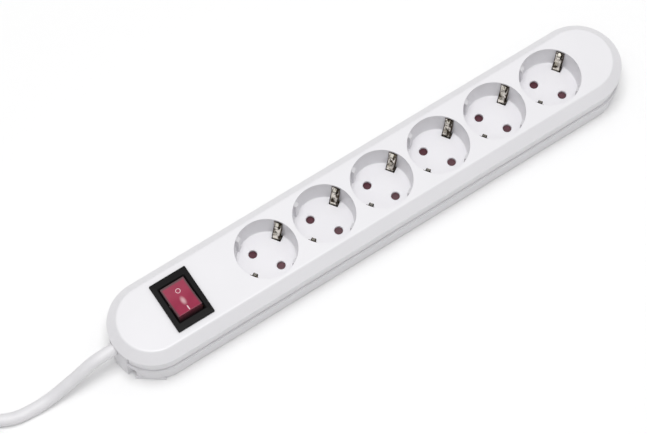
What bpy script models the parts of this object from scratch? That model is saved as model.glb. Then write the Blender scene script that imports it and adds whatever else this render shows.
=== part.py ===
"""Six-way power strip with a lit rocker switch, a 1.5 m lead and an angled earthed plug.

Metres, +Z up. The origin is the middle of the strip's underside, and +X runs along the
strip away from the lead. Run with: blender --background --python part.py
"""

import math

import bmesh
import bpy
from mathutils import Matrix, Vector

MM = 0.001
GAP = 0.3 * MM  # clearance between pieces that touch

# Body: lengths along X are counted from one end to the other.
SOCKETS = 6
SOCKET_PITCH = 42.3 * MM
FAR_MARGIN = 49.7 * MM  # last socket to the far end
SWITCH_OFFSET = 60.5 * MM  # switch to the first socket
CORD_MARGIN = 49.3 * MM  # lead's end of the body to the switch
WIDTH = 56.4 * MM
HEIGHT = 38.5 * MM
SHELL_WALL = 2.0 * MM
TOP_PLATE = 2.2 * MM
BAND_DROP = 7.2 * MM  # sloping band round the top face
BAND_RUN = 6.3 * MM
SKIRT_LIP = 0.5 * MM
SKIRT_STEP = 1.0 * MM  # how far the wall stands back under the band
PARTING_HEIGHT = 18.3 * MM
BASE_INSET = 2.3 * MM  # how far the underside stands back from the widest outline
RIM_INSET = 0.8 * MM
BOTTOM_WALL = 1.2 * MM
BASE_CHAMFER = 0.6 * MM

# Socket wells, to the 19 mm pin spacing of an earthed two-pin plug.
WELL_RADIUS = 19.6 * MM
WELL_DRAFT = 0.6 * MM
WELL_DEPTH = 18.0 * MM
WELL_WALL = 1.3 * MM
WELL_FLOOR = 2.0 * MM
RIM_CHAMFER = 0.5 * MM
PIN_CIRCLE = 9.5 * MM
PIN_HOLE = 2.75 * MM
PIN_ANGLE = math.radians(124.7)  # first pin hole, seen from above
CLIP_WIDTH = 5.7 * MM
CLIP_THICKNESS = 0.8 * MM
CLIP_TOP = 0.8 * MM  # below the top face
CLIP_SLOT_REACH = 5.0 * MM  # inwards from the well's wall
GUIDE_WIDTH = 3.6 * MM
GUIDE_DEPTH = 1.2 * MM

# Child-safety shutter under each well's floor.
PEG_RADIUS = 1.5 * MM
PEG_LENGTH = 3.1 * MM
SHUTTER_THICKNESS = 1.6 * MM
SHUTTER_HUB = 4.0 * MM
SHUTTER_REACH = 13.0 * MM
SHUTTER_HALF = math.radians(20)
SPRING_WIRE = 0.25 * MM
SPRING_INNER = 2.6 * MM
SPRING_OUTER = 5.4 * MM
SPRING_TURNS = 2
SPRING_DROP = 2.6 * MM  # below the floor's underside

# Contact metal, hung below the wells' floors.
CLIP_BASE_DROP = 3.6 * MM
EARTH_BAR_DROP = 4.9 * MM
BAR_THICKNESS = 1.0 * MM
EARTH_BAR_WIDTH = 5.0 * MM
BAR_LEAD = 22.0 * MM  # past the first socket, where the wires join
RAIL_DROP = 6.5 * MM
RAIL_HEIGHT = 8.5 * MM
RAIL_STOCK = 0.8 * MM
RAIL_OFFSET = 3.4 * MM  # from the pins' centres out to the strip
FORK_GAP = 4.4 * MM
FORK_REACH = 3.2 * MM
REST_THICKNESS = 1.6 * MM
REST_HALF = 13.4 * MM

# Screws that hold the two shells together.
SCREW_Y = 18.0 * MM
SCREW_RADIUS = 1.35 * MM
SCREW_HEAD = 2.8 * MM
SCREW_HEAD_HEIGHT = 2.2 * MM
SCREW_HEAD_LEVEL = 1.5 * MM
SCREW_LENGTH = 24.0 * MM
BOSS_RADIUS = 3.0 * MM
TOWER_RADIUS = 4.2 * MM
TOWER_TOP = 15.0 * MM
CORD_SCREW_BACK = 27.5 * MM  # from the lead's end
CORD_SCREW_Y = 17.0 * MM
FAR_SCREW_STEP = 6.2 * MM  # past the last well's wall
SLOT_WIDTH = 0.8 * MM

# Rocker switch.
BEZEL_X = 25.6 * MM
BEZEL_Y = 35.0 * MM
BEZEL_HEIGHT = 1.8 * MM
SWITCH_BODY_X = 21.8 * MM
SWITCH_BODY_Y = 30.0 * MM
SWITCH_DEPTH = 24.0 * MM
SWITCH_FLOOR = 2.0 * MM
ROCKER_X = 16.8 * MM
ROCKER_Y = 22.8 * MM
ROCKER_SIDE_GAP = 0.4 * MM
ROCKER_END_GAP = 0.9 * MM
ROCKER_PIVOT_DROP = 1.1 * MM  # below the top face
ROCKER_TILT = math.radians(9)
ROCKER_CROWN = 3.6 * MM  # middle of the face above the pivot
PIVOT_RADIUS = 1.5 * MM
PIVOT_STUB = 1.5 * MM
STEM_HALF = 3.0 * MM
STEM_DROP = 6.0 * MM
PLUNGER_RADIUS = 1.2 * MM
PLUNGER_TIP = 9.5 * MM  # below the pivot
POLE_OFFSET = 4.5 * MM
LEVER_WIDTH = 5.0 * MM
LEVER_HALF = 7.0 * MM
LEVER_STOCK = 1.0 * MM
LEVER_TILT = math.radians(5)
TAB_DROP = 6.0 * MM  # terminal tabs below the housing
TAB_STOCK = 0.8 * MM
LAMP_RADIUS = 1.7 * MM
LAMP_LENGTH = 9.0 * MM
LAMP_Y = -7.0 * MM

# Lead, its entry and its clamp.
CORD_RADIUS = 4.0 * MM
CORD_DROP = 12.7 * MM  # lead's centre below the top face
CORD_CLEARANCE = 0.35 * MM
ENTRY_HALF = 10.1 * MM
ENTRY_LENGTH = 13.0 * MM
FLANGE_THICKNESS = 3.5 * MM
FLANGE_HALF = 14.9 * MM
FLANGE_BACK = 19.5 * MM
NOTCH_WIDTH = 4.6 * MM
NOTCH_DEPTH = 7.5 * MM
NOTCH_HEIGHT = 13.0 * MM
SADDLE_LENGTH = 6.0 * MM
CLAMP_HALF = 12.0 * MM
CLAMP_BRIDGE = 2.0 * MM
CLAMP_SCREW_Y = 8.6 * MM
CLAMP_SCREW_LENGTH = 17.0 * MM
CLAMP_SCREW_HEAD = 2.4 * MM
CLAMP_SCREW_HEAD_HEIGHT = 1.6 * MM
CORE_RADIUS = 1.25 * MM

# Hank of the spare lead, beyond the entry, and its strap.
HANK_X = -313.0 * MM  # centre of the near end loop
HANK_Y = -12.0 * MM
HANK_RUN = 71.5 * MM
HANK_RADIUS = 36.0 * MM
HANK_BOTTOM = 1.3 * MM
HANK_TOP = 24.5 * MM
STRAP_WIDTH = 16.0 * MM
STRAP_STOCK = 1.0 * MM

# Angled plug, lying on its back with the pins up.
PLUG_X = -507.5 * MM
PLUG_Y = 8.0 * MM
PLUG_CORD_Z = 12.0 * MM
PLUG_BACK_RADIUS = 20.5 * MM
PLUG_BACK_HEIGHT = 18.0 * MM
PLUG_FACE_RADIUS = 18.9 * MM
PLUG_FACE_Z = 35.5 * MM
PLUG_PIN_RADIUS = 2.4 * MM
PLUG_PIN_LENGTH = 19.0 * MM
PLUG_PIN_ROOT = 7.0 * MM
PLUG_EARTH_WIDTH = 6.0 * MM
PLUG_RECESS = 2.4 * MM
RELIEF_LENGTH = 33.0 * MM
RELIEF_ROOT = 6.6 * MM
RELIEF_TIP = 4.8 * MM

# Facets.
ARC_STEPS = 14  # half a turn of the body's ends
WELL_STEPS = 32
SMALL_STEPS = 12

LENGTH = FAR_MARGIN + (SOCKETS - 1) * SOCKET_PITCH + SWITCH_OFFSET + CORD_MARGIN
END_X = LENGTH / 2
HALF_WIDTH = WIDTH / 2
ARC_X = END_X - HALF_WIDTH
SKIRT_Z = HEIGHT - BAND_DROP
SKIRT_UNDER = SKIRT_Z - SKIRT_LIP
WALL_HALF = HALF_WIDTH - SKIRT_STEP
FLOOR_Z = HEIGHT - WELL_DEPTH
UNDER_Z = FLOOR_Z - WELL_FLOOR
CEILING_Z = HEIGHT - TOP_PLATE
CUP_RADIUS = WELL_RADIUS + WELL_WALL
SWITCH_X = -END_X + CORD_MARGIN
CORD_Z = HEIGHT - CORD_DROP
CLIP_ANGLE = PIN_ANGLE - math.pi / 2
FIRST_SOCKET_X = SWITCH_X + SWITCH_OFFSET
SOCKET_XS = [FIRST_SOCKET_X + i * SOCKET_PITCH for i in range(SOCKETS)]
RAIL_TOP = UNDER_Z - RAIL_DROP
RAIL_BOTTOM = RAIL_TOP - RAIL_HEIGHT
ENTRY_END = -END_X + ENTRY_LENGTH
SADDLE_END = ENTRY_END + SADDLE_LENGTH
SWITCH_BOTTOM = HEIGHT - SWITCH_DEPTH
PIVOT_Z = HEIGHT - ROCKER_PIVOT_DROP
LEVER_Z = PIVOT_Z - PLUNGER_TIP - 0.4 * MM - LEVER_STOCK / 2


# ---- scene helpers ----


def clear_scene():
    for obj in list(bpy.data.objects):
        bpy.data.objects.remove(obj)


def material(name, color, roughness, metallic=0.0):
    made = bpy.data.materials.new(name)
    made.use_nodes = True
    shader = made.node_tree.nodes["Principled BSDF"]
    shader.inputs["Base Color"].default_value = (*color, 1.0)
    shader.inputs["Roughness"].default_value = roughness
    shader.inputs["Metallic"].default_value = metallic
    made.diffuse_color = (*color, 1.0)
    return made


def place(name, mesh, finish, at=(0, 0, 0), turn=None, parent=None):
    """One named object at its own origin, shaded smooth where its faces meet gently."""
    obj = bpy.data.objects.new(name, mesh)
    bpy.context.scene.collection.objects.link(obj)
    obj.location = at
    if turn:
        obj.rotation_euler = turn
    if parent:
        obj.parent = parent
    if finish:
        mesh.materials.append(finish)
    mesh.shade_smooth()
    mesh.set_sharp_from_angle(angle=math.radians(35))
    return obj


def empty(name, at, turn=(0, 0, 0)):
    made = bpy.data.objects.new(name, None)
    bpy.context.scene.collection.objects.link(made)
    made.location = at
    made.rotation_euler = turn
    return made


def finished(bm, name="shape"):
    bmesh.ops.recalc_face_normals(bm, faces=bm.faces)
    mesh = bpy.data.meshes.new(name)
    bm.to_mesh(mesh)
    bm.free()
    return mesh


def merged(meshes):
    """One mesh that holds several separate bodies."""
    bm = bmesh.new()
    for mesh in meshes:
        bm.from_mesh(mesh)
    return finished(bm)


def moved(mesh, offset=(0, 0, 0), turn=0.0, axis="Z"):
    mesh.transform(Matrix.Translation(Vector(offset)) @ Matrix.Rotation(turn, 4, axis))
    return mesh


def combine(obj, mesh, operation):
    """A Boolean against a hidden helper: UNION adds it, DIFFERENCE cuts it away."""
    helper = place(obj.name + "_" + operation.lower(), mesh, None)
    helper.hide_render = True
    helper.display_type = "WIRE"
    modifier = obj.modifiers.new(helper.name, "BOOLEAN")
    modifier.operation = operation
    modifier.solver = "EXACT"
    modifier.object = helper


# ---- shapes ----


def loft(rings):
    """A closed body through rings of equally many points, capped at both ends."""
    bm = bmesh.new()
    loops = [[bm.verts.new(point) for point in ring] for ring in rings]
    count = len(loops[0])
    for low, high in zip(loops, loops[1:]):
        for i in range(count):
            j = (i + 1) % count
            bm.faces.new((low[i], low[j], high[j], high[i]))
    bm.faces.new(loops[0])
    bm.faces.new(loops[-1])
    return finished(bm)


def prism(outline, low, high):
    return loft([[(x, y, z) for x, y in outline] for z in (low, high)])


def box(x0, x1, y0, y1, z0, z1):
    return prism([(x0, y0), (x1, y0), (x1, y1), (x0, y1)], z0, z1)


def prism_x(outline, low, high):
    """A prism along X, from an outline of (y, z) points."""
    return loft([[(x, y, z) for y, z in outline] for x in (low, high)])


def turned(profile, steps):
    """A body turned about Z from (radius, height) points that start and end on the axis."""
    bm = bmesh.new()
    points = [bm.verts.new((radius, 0, height)) for radius, height in profile]
    edges = [bm.edges.new(pair) for pair in zip(points, points[1:])]
    bmesh.ops.spin(
        bm,
        geom=points + edges,
        axis=(0, 0, 1),
        cent=(0, 0, 0),
        steps=steps,
        angle=2 * math.pi,
    )
    bmesh.ops.remove_doubles(bm, verts=bm.verts, dist=0.001 * MM)
    return finished(bm)


def cylinder(radius, low, high, steps=SMALL_STEPS):
    return turned([(0, low), (radius, low), (radius, high), (0, high)], steps)


def arc(radius, start, end, steps, centre=(0, 0)):
    """Points of a circle from one angle to another, both ends included."""
    angles = [start + (end - start) * i / steps for i in range(steps + 1)]
    return [(centre[0] + radius * math.cos(a), centre[1] + radius * math.sin(a)) for a in angles]


def stadium(half, z):
    """The body's outline at one height: two half circles about the same two centres."""
    far = arc(half, -math.pi / 2, math.pi / 2, ARC_STEPS, (ARC_X, 0))
    near = arc(half, math.pi / 2, 3 * math.pi / 2, ARC_STEPS, (-ARC_X, 0))
    return [(x, y, z) for x, y in far + near]


def smooth_route(points, step):
    """Evenly spaced points of a smooth curve through the given ones."""
    knots = [Vector(point) for point in points]
    knots = [2 * knots[0] - knots[1]] + knots + [2 * knots[-1] - knots[-2]]
    fine = []
    for a, b, c, d in zip(knots, knots[1:], knots[2:], knots[3:]):
        for i in range(24):
            t = i / 24
            fine.append(
                0.5
                * (
                    2 * b
                    + (c - a) * t
                    + (2 * a - 5 * b + 4 * c - d) * t**2
                    + (3 * b - a - 3 * c + d) * t**3
                )
            )
    fine.append(knots[-2])
    total = sum((q - p).length for p, q in zip(fine, fine[1:]))
    spacing = total / max(1, round(total / step))
    kept, along = [fine[0]], 0.0
    for p, q in zip(fine, fine[1:]):
        along += (q - p).length
        if along >= spacing * len(kept) - spacing / 48 and len(kept) < round(total / spacing):
            kept.append(q)
    return kept + [fine[-1]]


def tube(name, points, radius, finish, roundness=2):
    """A cable of round section along a poly line, closed at both ends."""
    curve = bpy.data.curves.new(name, "CURVE")
    curve.dimensions = "3D"
    curve.bevel_depth = radius
    curve.bevel_resolution = roundness
    curve.use_fill_caps = True
    spline = curve.splines.new("POLY")
    spline.points.add(len(points) - 1)
    for item, point in zip(spline.points, points):
        item.co = (*point, 1.0)
    curve.materials.append(finish)
    obj = bpy.data.objects.new(name, curve)
    bpy.context.scene.collection.objects.link(obj)
    return obj


def polar(radius, angle):
    return radius * math.cos(angle), radius * math.sin(angle)


# ---- shells ----


def screw_places():
    """(x, y) of each housing screw: beside the outer wells, at the far end and by the lead."""
    first = (SOCKET_XS[0] + SOCKET_XS[1]) / 2
    last = (SOCKET_XS[-2] + SOCKET_XS[-1]) / 2
    beside = [(x, side * SCREW_Y) for x in (first, last) for side in (-1, 1)]
    far = [(SOCKET_XS[-1] + CUP_RADIUS + FAR_SCREW_STEP, 0.0)]
    near = [(-END_X + CORD_SCREW_BACK, side * CORD_SCREW_Y) for side in (-1, 1)]
    return near + beside + far


def guide_ribs(x):
    """Two ribs on a well's wall that keep a plug from being turned."""
    outer = WELL_RADIUS + WELL_WALL / 2
    inner = WELL_RADIUS - WELL_DRAFT - GUIDE_DEPTH
    half = GUIDE_WIDTH / 2
    top = HEIGHT - 2 * RIM_CHAMFER
    ribs = []
    for turn in (PIN_ANGLE, PIN_ANGLE + math.pi):
        rib = box(inner, outer, -half, half, FLOOR_Z - WELL_FLOOR / 2, top)
        ribs.append(moved(rib, (x, 0, 0), turn))
    return ribs


def floor_cuts(x):
    """Pin holes and earth slots through one well's floor."""
    cuts = []
    for turn in (PIN_ANGLE, PIN_ANGLE + math.pi):
        px, py = polar(PIN_CIRCLE, turn)
        hole = cylinder(PIN_HOLE, UNDER_Z - MM, FLOOR_Z + MM)
        cuts.append(moved(hole, (x + px, py, 0)))
    half = CLIP_WIDTH / 2 + GAP
    wall = WELL_RADIUS - WELL_DRAFT
    outer = wall - 0.1 * MM
    for turn in (CLIP_ANGLE, CLIP_ANGLE + math.pi):
        slot = box(wall - CLIP_SLOT_REACH, outer, -half, half, UNDER_Z - MM, FLOOR_Z + MM)
        cuts.append(moved(slot, (x, 0, 0), turn))
    return cuts


def well_cut(x):
    bottom = WELL_RADIUS - WELL_DRAFT
    rim = WELL_RADIUS + RIM_CHAMFER
    profile = [
        (0, FLOOR_Z),
        (bottom, FLOOR_Z),
        (WELL_RADIUS, HEIGHT - RIM_CHAMFER),
        (rim, HEIGHT),
        (rim, HEIGHT + MM),
        (0, HEIGHT + MM),
    ]
    return moved(turned(profile, WELL_STEPS), (x, 0, 0))


def top_shell(finish):
    top_half = HALF_WIDTH - BAND_RUN
    inner_half = WALL_HALF - SHELL_WALL
    low = PARTING_HEIGHT + GAP
    outside = [
        (top_half, HEIGHT),
        (HALF_WIDTH, SKIRT_Z),
        (HALF_WIDTH, SKIRT_UNDER),
        (WALL_HALF, SKIRT_UNDER),
        (WALL_HALF, low),
    ]
    inside = [
        (inner_half, low),
        (inner_half, SKIRT_Z - MM),
        (top_half - SHELL_WALL / 2, CEILING_Z),
    ]
    shell = place("top_shell", loft([stadium(*ring) for ring in outside + inside]), finish)
    added = [cylinder(CUP_RADIUS, UNDER_Z, HEIGHT - MM, WELL_STEPS) for _ in SOCKET_XS]
    added = [moved(cup, (x, 0, 0)) for cup, x in zip(added, SOCKET_XS)]
    for x, y in screw_places():
        boss = cylinder(BOSS_RADIUS, TOWER_TOP + GAP, HEIGHT - MM)
        added.append(moved(boss, (x, y, 0)))
    combine(shell, merged(added), "UNION")
    combine(shell, merged([well_cut(x) for x in SOCKET_XS]), "DIFFERENCE")
    pegs = [cylinder(PEG_RADIUS, UNDER_Z - PEG_LENGTH, UNDER_Z + MM) for _ in SOCKET_XS]
    added = [moved(peg, (x, 0, 0)) for peg, x in zip(pegs, SOCKET_XS)]
    for x in SOCKET_XS:
        added += guide_ribs(x)
    combine(shell, merged(added), "UNION")
    cuts = []
    for x in SOCKET_XS:
        cuts += floor_cuts(x)
    for x, y in screw_places():
        bore = cylinder(SCREW_RADIUS + GAP, TOWER_TOP - MM, screw_tip() + MM)
        cuts.append(moved(bore, (x, y, 0)))
    half_x = SWITCH_BODY_X / 2 + GAP
    half_y = SWITCH_BODY_Y / 2 + GAP
    cuts.append(
        box(SWITCH_X - half_x, SWITCH_X + half_x, -half_y, half_y, UNDER_Z, HEIGHT + MM)
    )
    entry = ENTRY_HALF + GAP
    cuts.append(box(-END_X - MM, ENTRY_END, -entry, entry, PARTING_HEIGHT, SKIRT_UNDER))
    combine(shell, merged(cuts), "DIFFERENCE")


def screw_tip():
    return SCREW_HEAD_LEVEL + SCREW_HEAD_HEIGHT + SCREW_LENGTH


def bottom_shell(finish):
    base_half = HALF_WIDTH - BASE_INSET
    rim_half = HALF_WIDTH - RIM_INSET
    rings = [
        (base_half - BASE_CHAMFER, 0.0),
        (base_half, BASE_CHAMFER),
        (rim_half, PARTING_HEIGHT - RIM_INSET),
        (rim_half - RIM_INSET, PARTING_HEIGHT),
        (rim_half - SHELL_WALL, PARTING_HEIGHT),
        (base_half - SHELL_WALL, BOTTOM_WALL),
    ]
    shell = place("bottom_shell", loft([stadium(*ring) for ring in rings]), finish)

    # The lead's end: a flange with cut corners, a block round the notches and the entry.
    reach = math.asin(FLANGE_HALF / HALF_WIDTH)
    nose = arc(HALF_WIDTH, math.pi - reach, math.pi + reach, 8, (-ARC_X, 0))
    back = -END_X + FLANGE_BACK
    inner = SADDLE_END + 0.5 * MM
    corner = base_half - 0.05 * MM
    outline = nose + [(back, -corner), (inner, -corner + MM), (inner, corner - MM), (back, corner)]
    combine(shell, prism(outline, 0.0, FLANGE_THICKNESS), "UNION")
    mid_wall = rim_half - SHELL_WALL / 2
    cheek = NOTCH_WIDTH + ENTRY_HALF + 2 * MM
    reach = math.asin(cheek / mid_wall)
    outline = arc(mid_wall, math.pi - reach, math.pi + reach, 8, (-ARC_X, 0))
    outline += [(ENTRY_END, -cheek), (ENTRY_END, cheek)]
    combine(shell, prism(outline, MM, NOTCH_HEIGHT + 2 * MM), "UNION")
    reach = math.asin(ENTRY_HALF / HALF_WIDTH)
    outline = arc(HALF_WIDTH, math.pi - reach, math.pi + reach, 6, (-ARC_X, 0))
    outline += [(ENTRY_END, -ENTRY_HALF), (ENTRY_END, ENTRY_HALF)]
    combine(shell, prism(outline, 0.5 * MM, SKIRT_UNDER - GAP), "UNION")

    saddle_top = CORD_Z - CORD_RADIUS - GAP
    added = [box(ENTRY_END - MM, SADDLE_END, -CLAMP_HALF, CLAMP_HALF, MM, saddle_top)]
    for x, y in screw_places():
        added.append(moved(cylinder(TOWER_RADIUS, 0.5 * MM, TOWER_TOP), (x, y, 0)))
    half = REST_THICKNESS / 2
    rest_top = RAIL_BOTTOM - GAP
    for left, right in zip(SOCKET_XS, SOCKET_XS[1:]):
        x = (left + right) / 2
        added.append(box(x - half, x + half, -REST_HALF, REST_HALF, BOTTOM_WALL / 2, rest_top))
    combine(shell, merged(added), "UNION")

    cuts = []
    for x, y in screw_places():
        bore = turned(
            [
                (0, -MM),
                (SCREW_HEAD + GAP, -MM),
                (SCREW_HEAD + GAP, SCREW_HEAD_LEVEL + SCREW_HEAD_HEIGHT + GAP),
                (SCREW_RADIUS + GAP, SCREW_HEAD_LEVEL + SCREW_HEAD_HEIGHT + GAP),
                (SCREW_RADIUS + GAP, TOWER_TOP + MM),
                (0, TOWER_TOP + MM),
            ],
            SMALL_STEPS,
        )
        cuts.append(moved(bore, (x, y, 0)))
    for side in (-1, 1):
        bore = cylinder(SCREW_RADIUS + GAP, clamp_screw_tip() - MM, saddle_top + MM)
        x = (ENTRY_END + SADDLE_END) / 2
        cuts.append(moved(bore, (x, side * CLAMP_SCREW_Y, 0)))
        low, high = sorted((side * ENTRY_HALF, side * (ENTRY_HALF + NOTCH_WIDTH)))
        notch_end = -END_X + NOTCH_DEPTH
        cuts.append(box(-END_X - MM, notch_end, low, high, -MM, NOTCH_HEIGHT))
    radius = CORD_RADIUS + CORD_CLEARANCE
    channel = arc(radius, math.pi, 2 * math.pi, 10, (0, CORD_Z))
    channel += [(radius, HEIGHT), (-radius, HEIGHT)]
    cuts.append(prism_x(channel, -END_X - MM, ENTRY_END + MM))
    combine(shell, merged(cuts), "DIFFERENCE")


def screw_mesh(head_radius, head_height, shank_radius, length):
    """A cheese-head screw, head down: the head's face is at z = 0 and the tip points up."""
    profile = [
        (0, 0),
        (head_radius, 0),
        (head_radius, head_height),
        (shank_radius, head_height),
        (shank_radius, head_height + length - shank_radius),
        (0, head_height + length),
    ]
    return turned(profile, SMALL_STEPS)


def add_screw(name, mesh, finish, at, turn, head_radius):
    screw = place(name, mesh, finish, at, turn)
    slot = box(-head_radius - MM, head_radius + MM, -SLOT_WIDTH / 2, SLOT_WIDTH / 2, -MM, MM)
    combine(screw, slot, "DIFFERENCE")
    helper = screw.modifiers[-1].object
    helper.location = at
    helper.rotation_euler = turn


def housing_screws(finish):
    mesh = screw_mesh(SCREW_HEAD, SCREW_HEAD_HEIGHT, SCREW_RADIUS, SCREW_LENGTH)
    for number, (x, y) in enumerate(screw_places(), 1):
        at = (x, y, SCREW_HEAD_LEVEL)
        add_screw(f"housing_screw_{number}", mesh.copy(), finish, at, (0, 0, 0), SCREW_HEAD)


# ---- sockets ----


def shutter_mesh():
    """A hub with two blades that lie under the pin holes."""
    steps = 40
    inner, outer = [], []
    for i in range(steps):
        angle = 2 * math.pi * i / steps
        off = abs((angle + math.pi / 2) % math.pi - math.pi / 2)
        radius = SHUTTER_REACH if off <= SHUTTER_HALF + 0.001 else SHUTTER_HUB
        outer.append(polar(radius, angle))
        inner.append(polar(PEG_RADIUS + GAP, angle))
    high = UNDER_Z - GAP
    low = high - SHUTTER_THICKNESS
    bm = bmesh.new()
    rings = [
        [bm.verts.new((x, y, z)) for x, y in ring]
        for ring, z in ((inner, low), (outer, low), (outer, high), (inner, high))
    ]
    for one, other in zip(rings, rings[1:] + rings[:1]):
        for i in range(steps):
            j = (i + 1) % steps
            bm.faces.new((one[i], one[j], other[j], other[i]))
    return finished(bm)


def spring_points(x):
    """A flat spiral spring about one well's peg."""
    steps = 9 * SPRING_TURNS
    z = UNDER_Z - SPRING_DROP
    points = []
    for i in range(steps + 1):
        share = i / steps
        px, py = polar(
            SPRING_INNER + (SPRING_OUTER - SPRING_INNER) * share,
            PIN_ANGLE + 2 * math.pi * SPRING_TURNS * share,
        )
        points.append((x + px, py, z))
    return points


def clip_mesh():
    """A strip bent into a wide U whose arms line the well's wall, thick side outwards."""
    half = CLIP_WIDTH / 2
    low = UNDER_Z - CLIP_BASE_DROP - BAR_THICKNESS
    rim = WELL_RADIUS - 2 * GAP
    outer = [
        (rim - 0.2 * MM, HEIGHT - CLIP_TOP),
        (rim - 0.9 * MM, FLOOR_Z + 11 * MM),
        (rim - 2.2 * MM, FLOOR_Z + 5 * MM),
        (rim - 1.8 * MM, FLOOR_Z),
        (rim - 1.8 * MM, low + BAR_THICKNESS),
        (rim - 2.4 * MM, low),
    ]
    inner = [
        (rim - 3.0 * MM, low + BAR_THICKNESS),
        (rim - 1.8 * MM - CLIP_THICKNESS, low + 1.8 * BAR_THICKNESS),
        (rim - 1.8 * MM - CLIP_THICKNESS, FLOOR_Z),
        (rim - 2.2 * MM - CLIP_THICKNESS, FLOOR_Z + 5 * MM),
        (rim - 0.9 * MM - CLIP_THICKNESS, FLOOR_Z + 11 * MM),
        (rim - 0.2 * MM - CLIP_THICKNESS, HEIGHT - CLIP_TOP),
    ]
    outline = outer + [(-u, z) for u, z in reversed(outer)]
    outline += [(-u, z) for u, z in reversed(inner)] + inner
    return loft([[(u, v, z) for u, z in outline] for v in (-half, half)])


def rail_mesh(side):
    """A brass strip on edge with one fork at each pin, open towards the middle."""
    pin_x, pin_y = polar(PIN_CIRCLE, PIN_ANGLE)
    outside = pin_y + RAIL_OFFSET + RAIL_STOCK
    inside = pin_y + RAIL_OFFSET
    tip = pin_y - FORK_REACH
    prong_in = FORK_GAP / 2
    prong_out = prong_in + RAIL_STOCK
    centres = [x + pin_x * side for x in SOCKET_XS]
    outline = [(SOCKET_XS[0] - BAR_LEAD, outside), (SOCKET_XS[0] - BAR_LEAD, inside)]
    for x in centres:
        for one, other in ((-prong_out, -prong_in), (prong_in, prong_out)):
            outline += [(x + one, inside), (x + one, tip), (x + other, tip), (x + other, inside)]
    end = SOCKET_XS[-1] + PIN_CIRCLE
    outline += [(end, inside), (end, outside)]
    return prism([(x, side * y) for x, y in outline], RAIL_BOTTOM, RAIL_TOP)


def sockets(finishes):
    shutter = shutter_mesh()
    clip = clip_mesh()
    for number, x in enumerate(SOCKET_XS, 1):
        pivot = empty(f"shutter_pivot_{number}", (x, 0, 0), (0, 0, PIN_ANGLE))
        place(f"shutter_{number}", shutter.copy(), finishes["shutter"], parent=pivot)
        tube(f"shutter_spring_{number}", spring_points(x), SPRING_WIRE, finishes["steel"], 0)
        turn = (0, 0, CLIP_ANGLE)
        place(f"earth_clip_{number}", clip.copy(), finishes["nickel"], (x, 0, 0), turn)
    place("live_bar", rail_mesh(1), finishes["brass"])
    place("neutral_bar", rail_mesh(-1), finishes["brass"])
    top = UNDER_Z - EARTH_BAR_DROP
    half = EARTH_BAR_WIDTH / 2
    start = SOCKET_XS[0] - BAR_LEAD
    end = SOCKET_XS[-1] + PIN_CIRCLE
    bar = box(start, end, -half, half, top - BAR_THICKNESS, top)
    place("earth_bar", bar, finishes["nickel"])


# ---- switch ----


def switch_housing(finish):
    z = HEIGHT + GAP
    half_x, half_y = BEZEL_X / 2, BEZEL_Y / 2
    mesh = box(-half_x, half_x, -half_y, half_y, z, z + BEZEL_HEIGHT)
    housing = place("switch_housing", mesh, finish, (SWITCH_X, 0, 0))
    half_x, half_y = SWITCH_BODY_X / 2, SWITCH_BODY_Y / 2
    body = box(-half_x, half_x, -half_y, half_y, SWITCH_BOTTOM, z + BEZEL_HEIGHT / 2)
    half_x = ROCKER_X / 2 + ROCKER_SIDE_GAP
    half_y = ROCKER_Y / 2 + ROCKER_END_GAP
    floor = SWITCH_BOTTOM + SWITCH_FLOOR
    cuts = [box(-half_x, half_x, -half_y, half_y, floor, HEIGHT + 9 * MM)]
    reach = ROCKER_X / 2 + PIVOT_STUB + GAP
    pivot = moved(cylinder(PIVOT_RADIUS + GAP, -reach, reach), (0, 0, PIVOT_Z), math.pi / 2, "Y")
    slots = []
    half = LEVER_WIDTH / 2 + GAP
    for x in (-POLE_OFFSET, POLE_OFFSET):
        for y in (0.0, LEVER_HALF):
            thick = TAB_STOCK / 2 + GAP
            slots.append(
                box(x - half, x + half, y - thick, y + thick, SWITCH_BOTTOM - MM, floor + MM)
            )
    at = (SWITCH_X, 0, 0)
    for mesh, operation in (
        (body, "UNION"),
        (merged(cuts), "DIFFERENCE"),
        (pivot, "DIFFERENCE"),
        (merged(slots), "DIFFERENCE"),
    ):
        combine(housing, mesh, operation)
        housing.modifiers[-1].object.location = at


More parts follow.
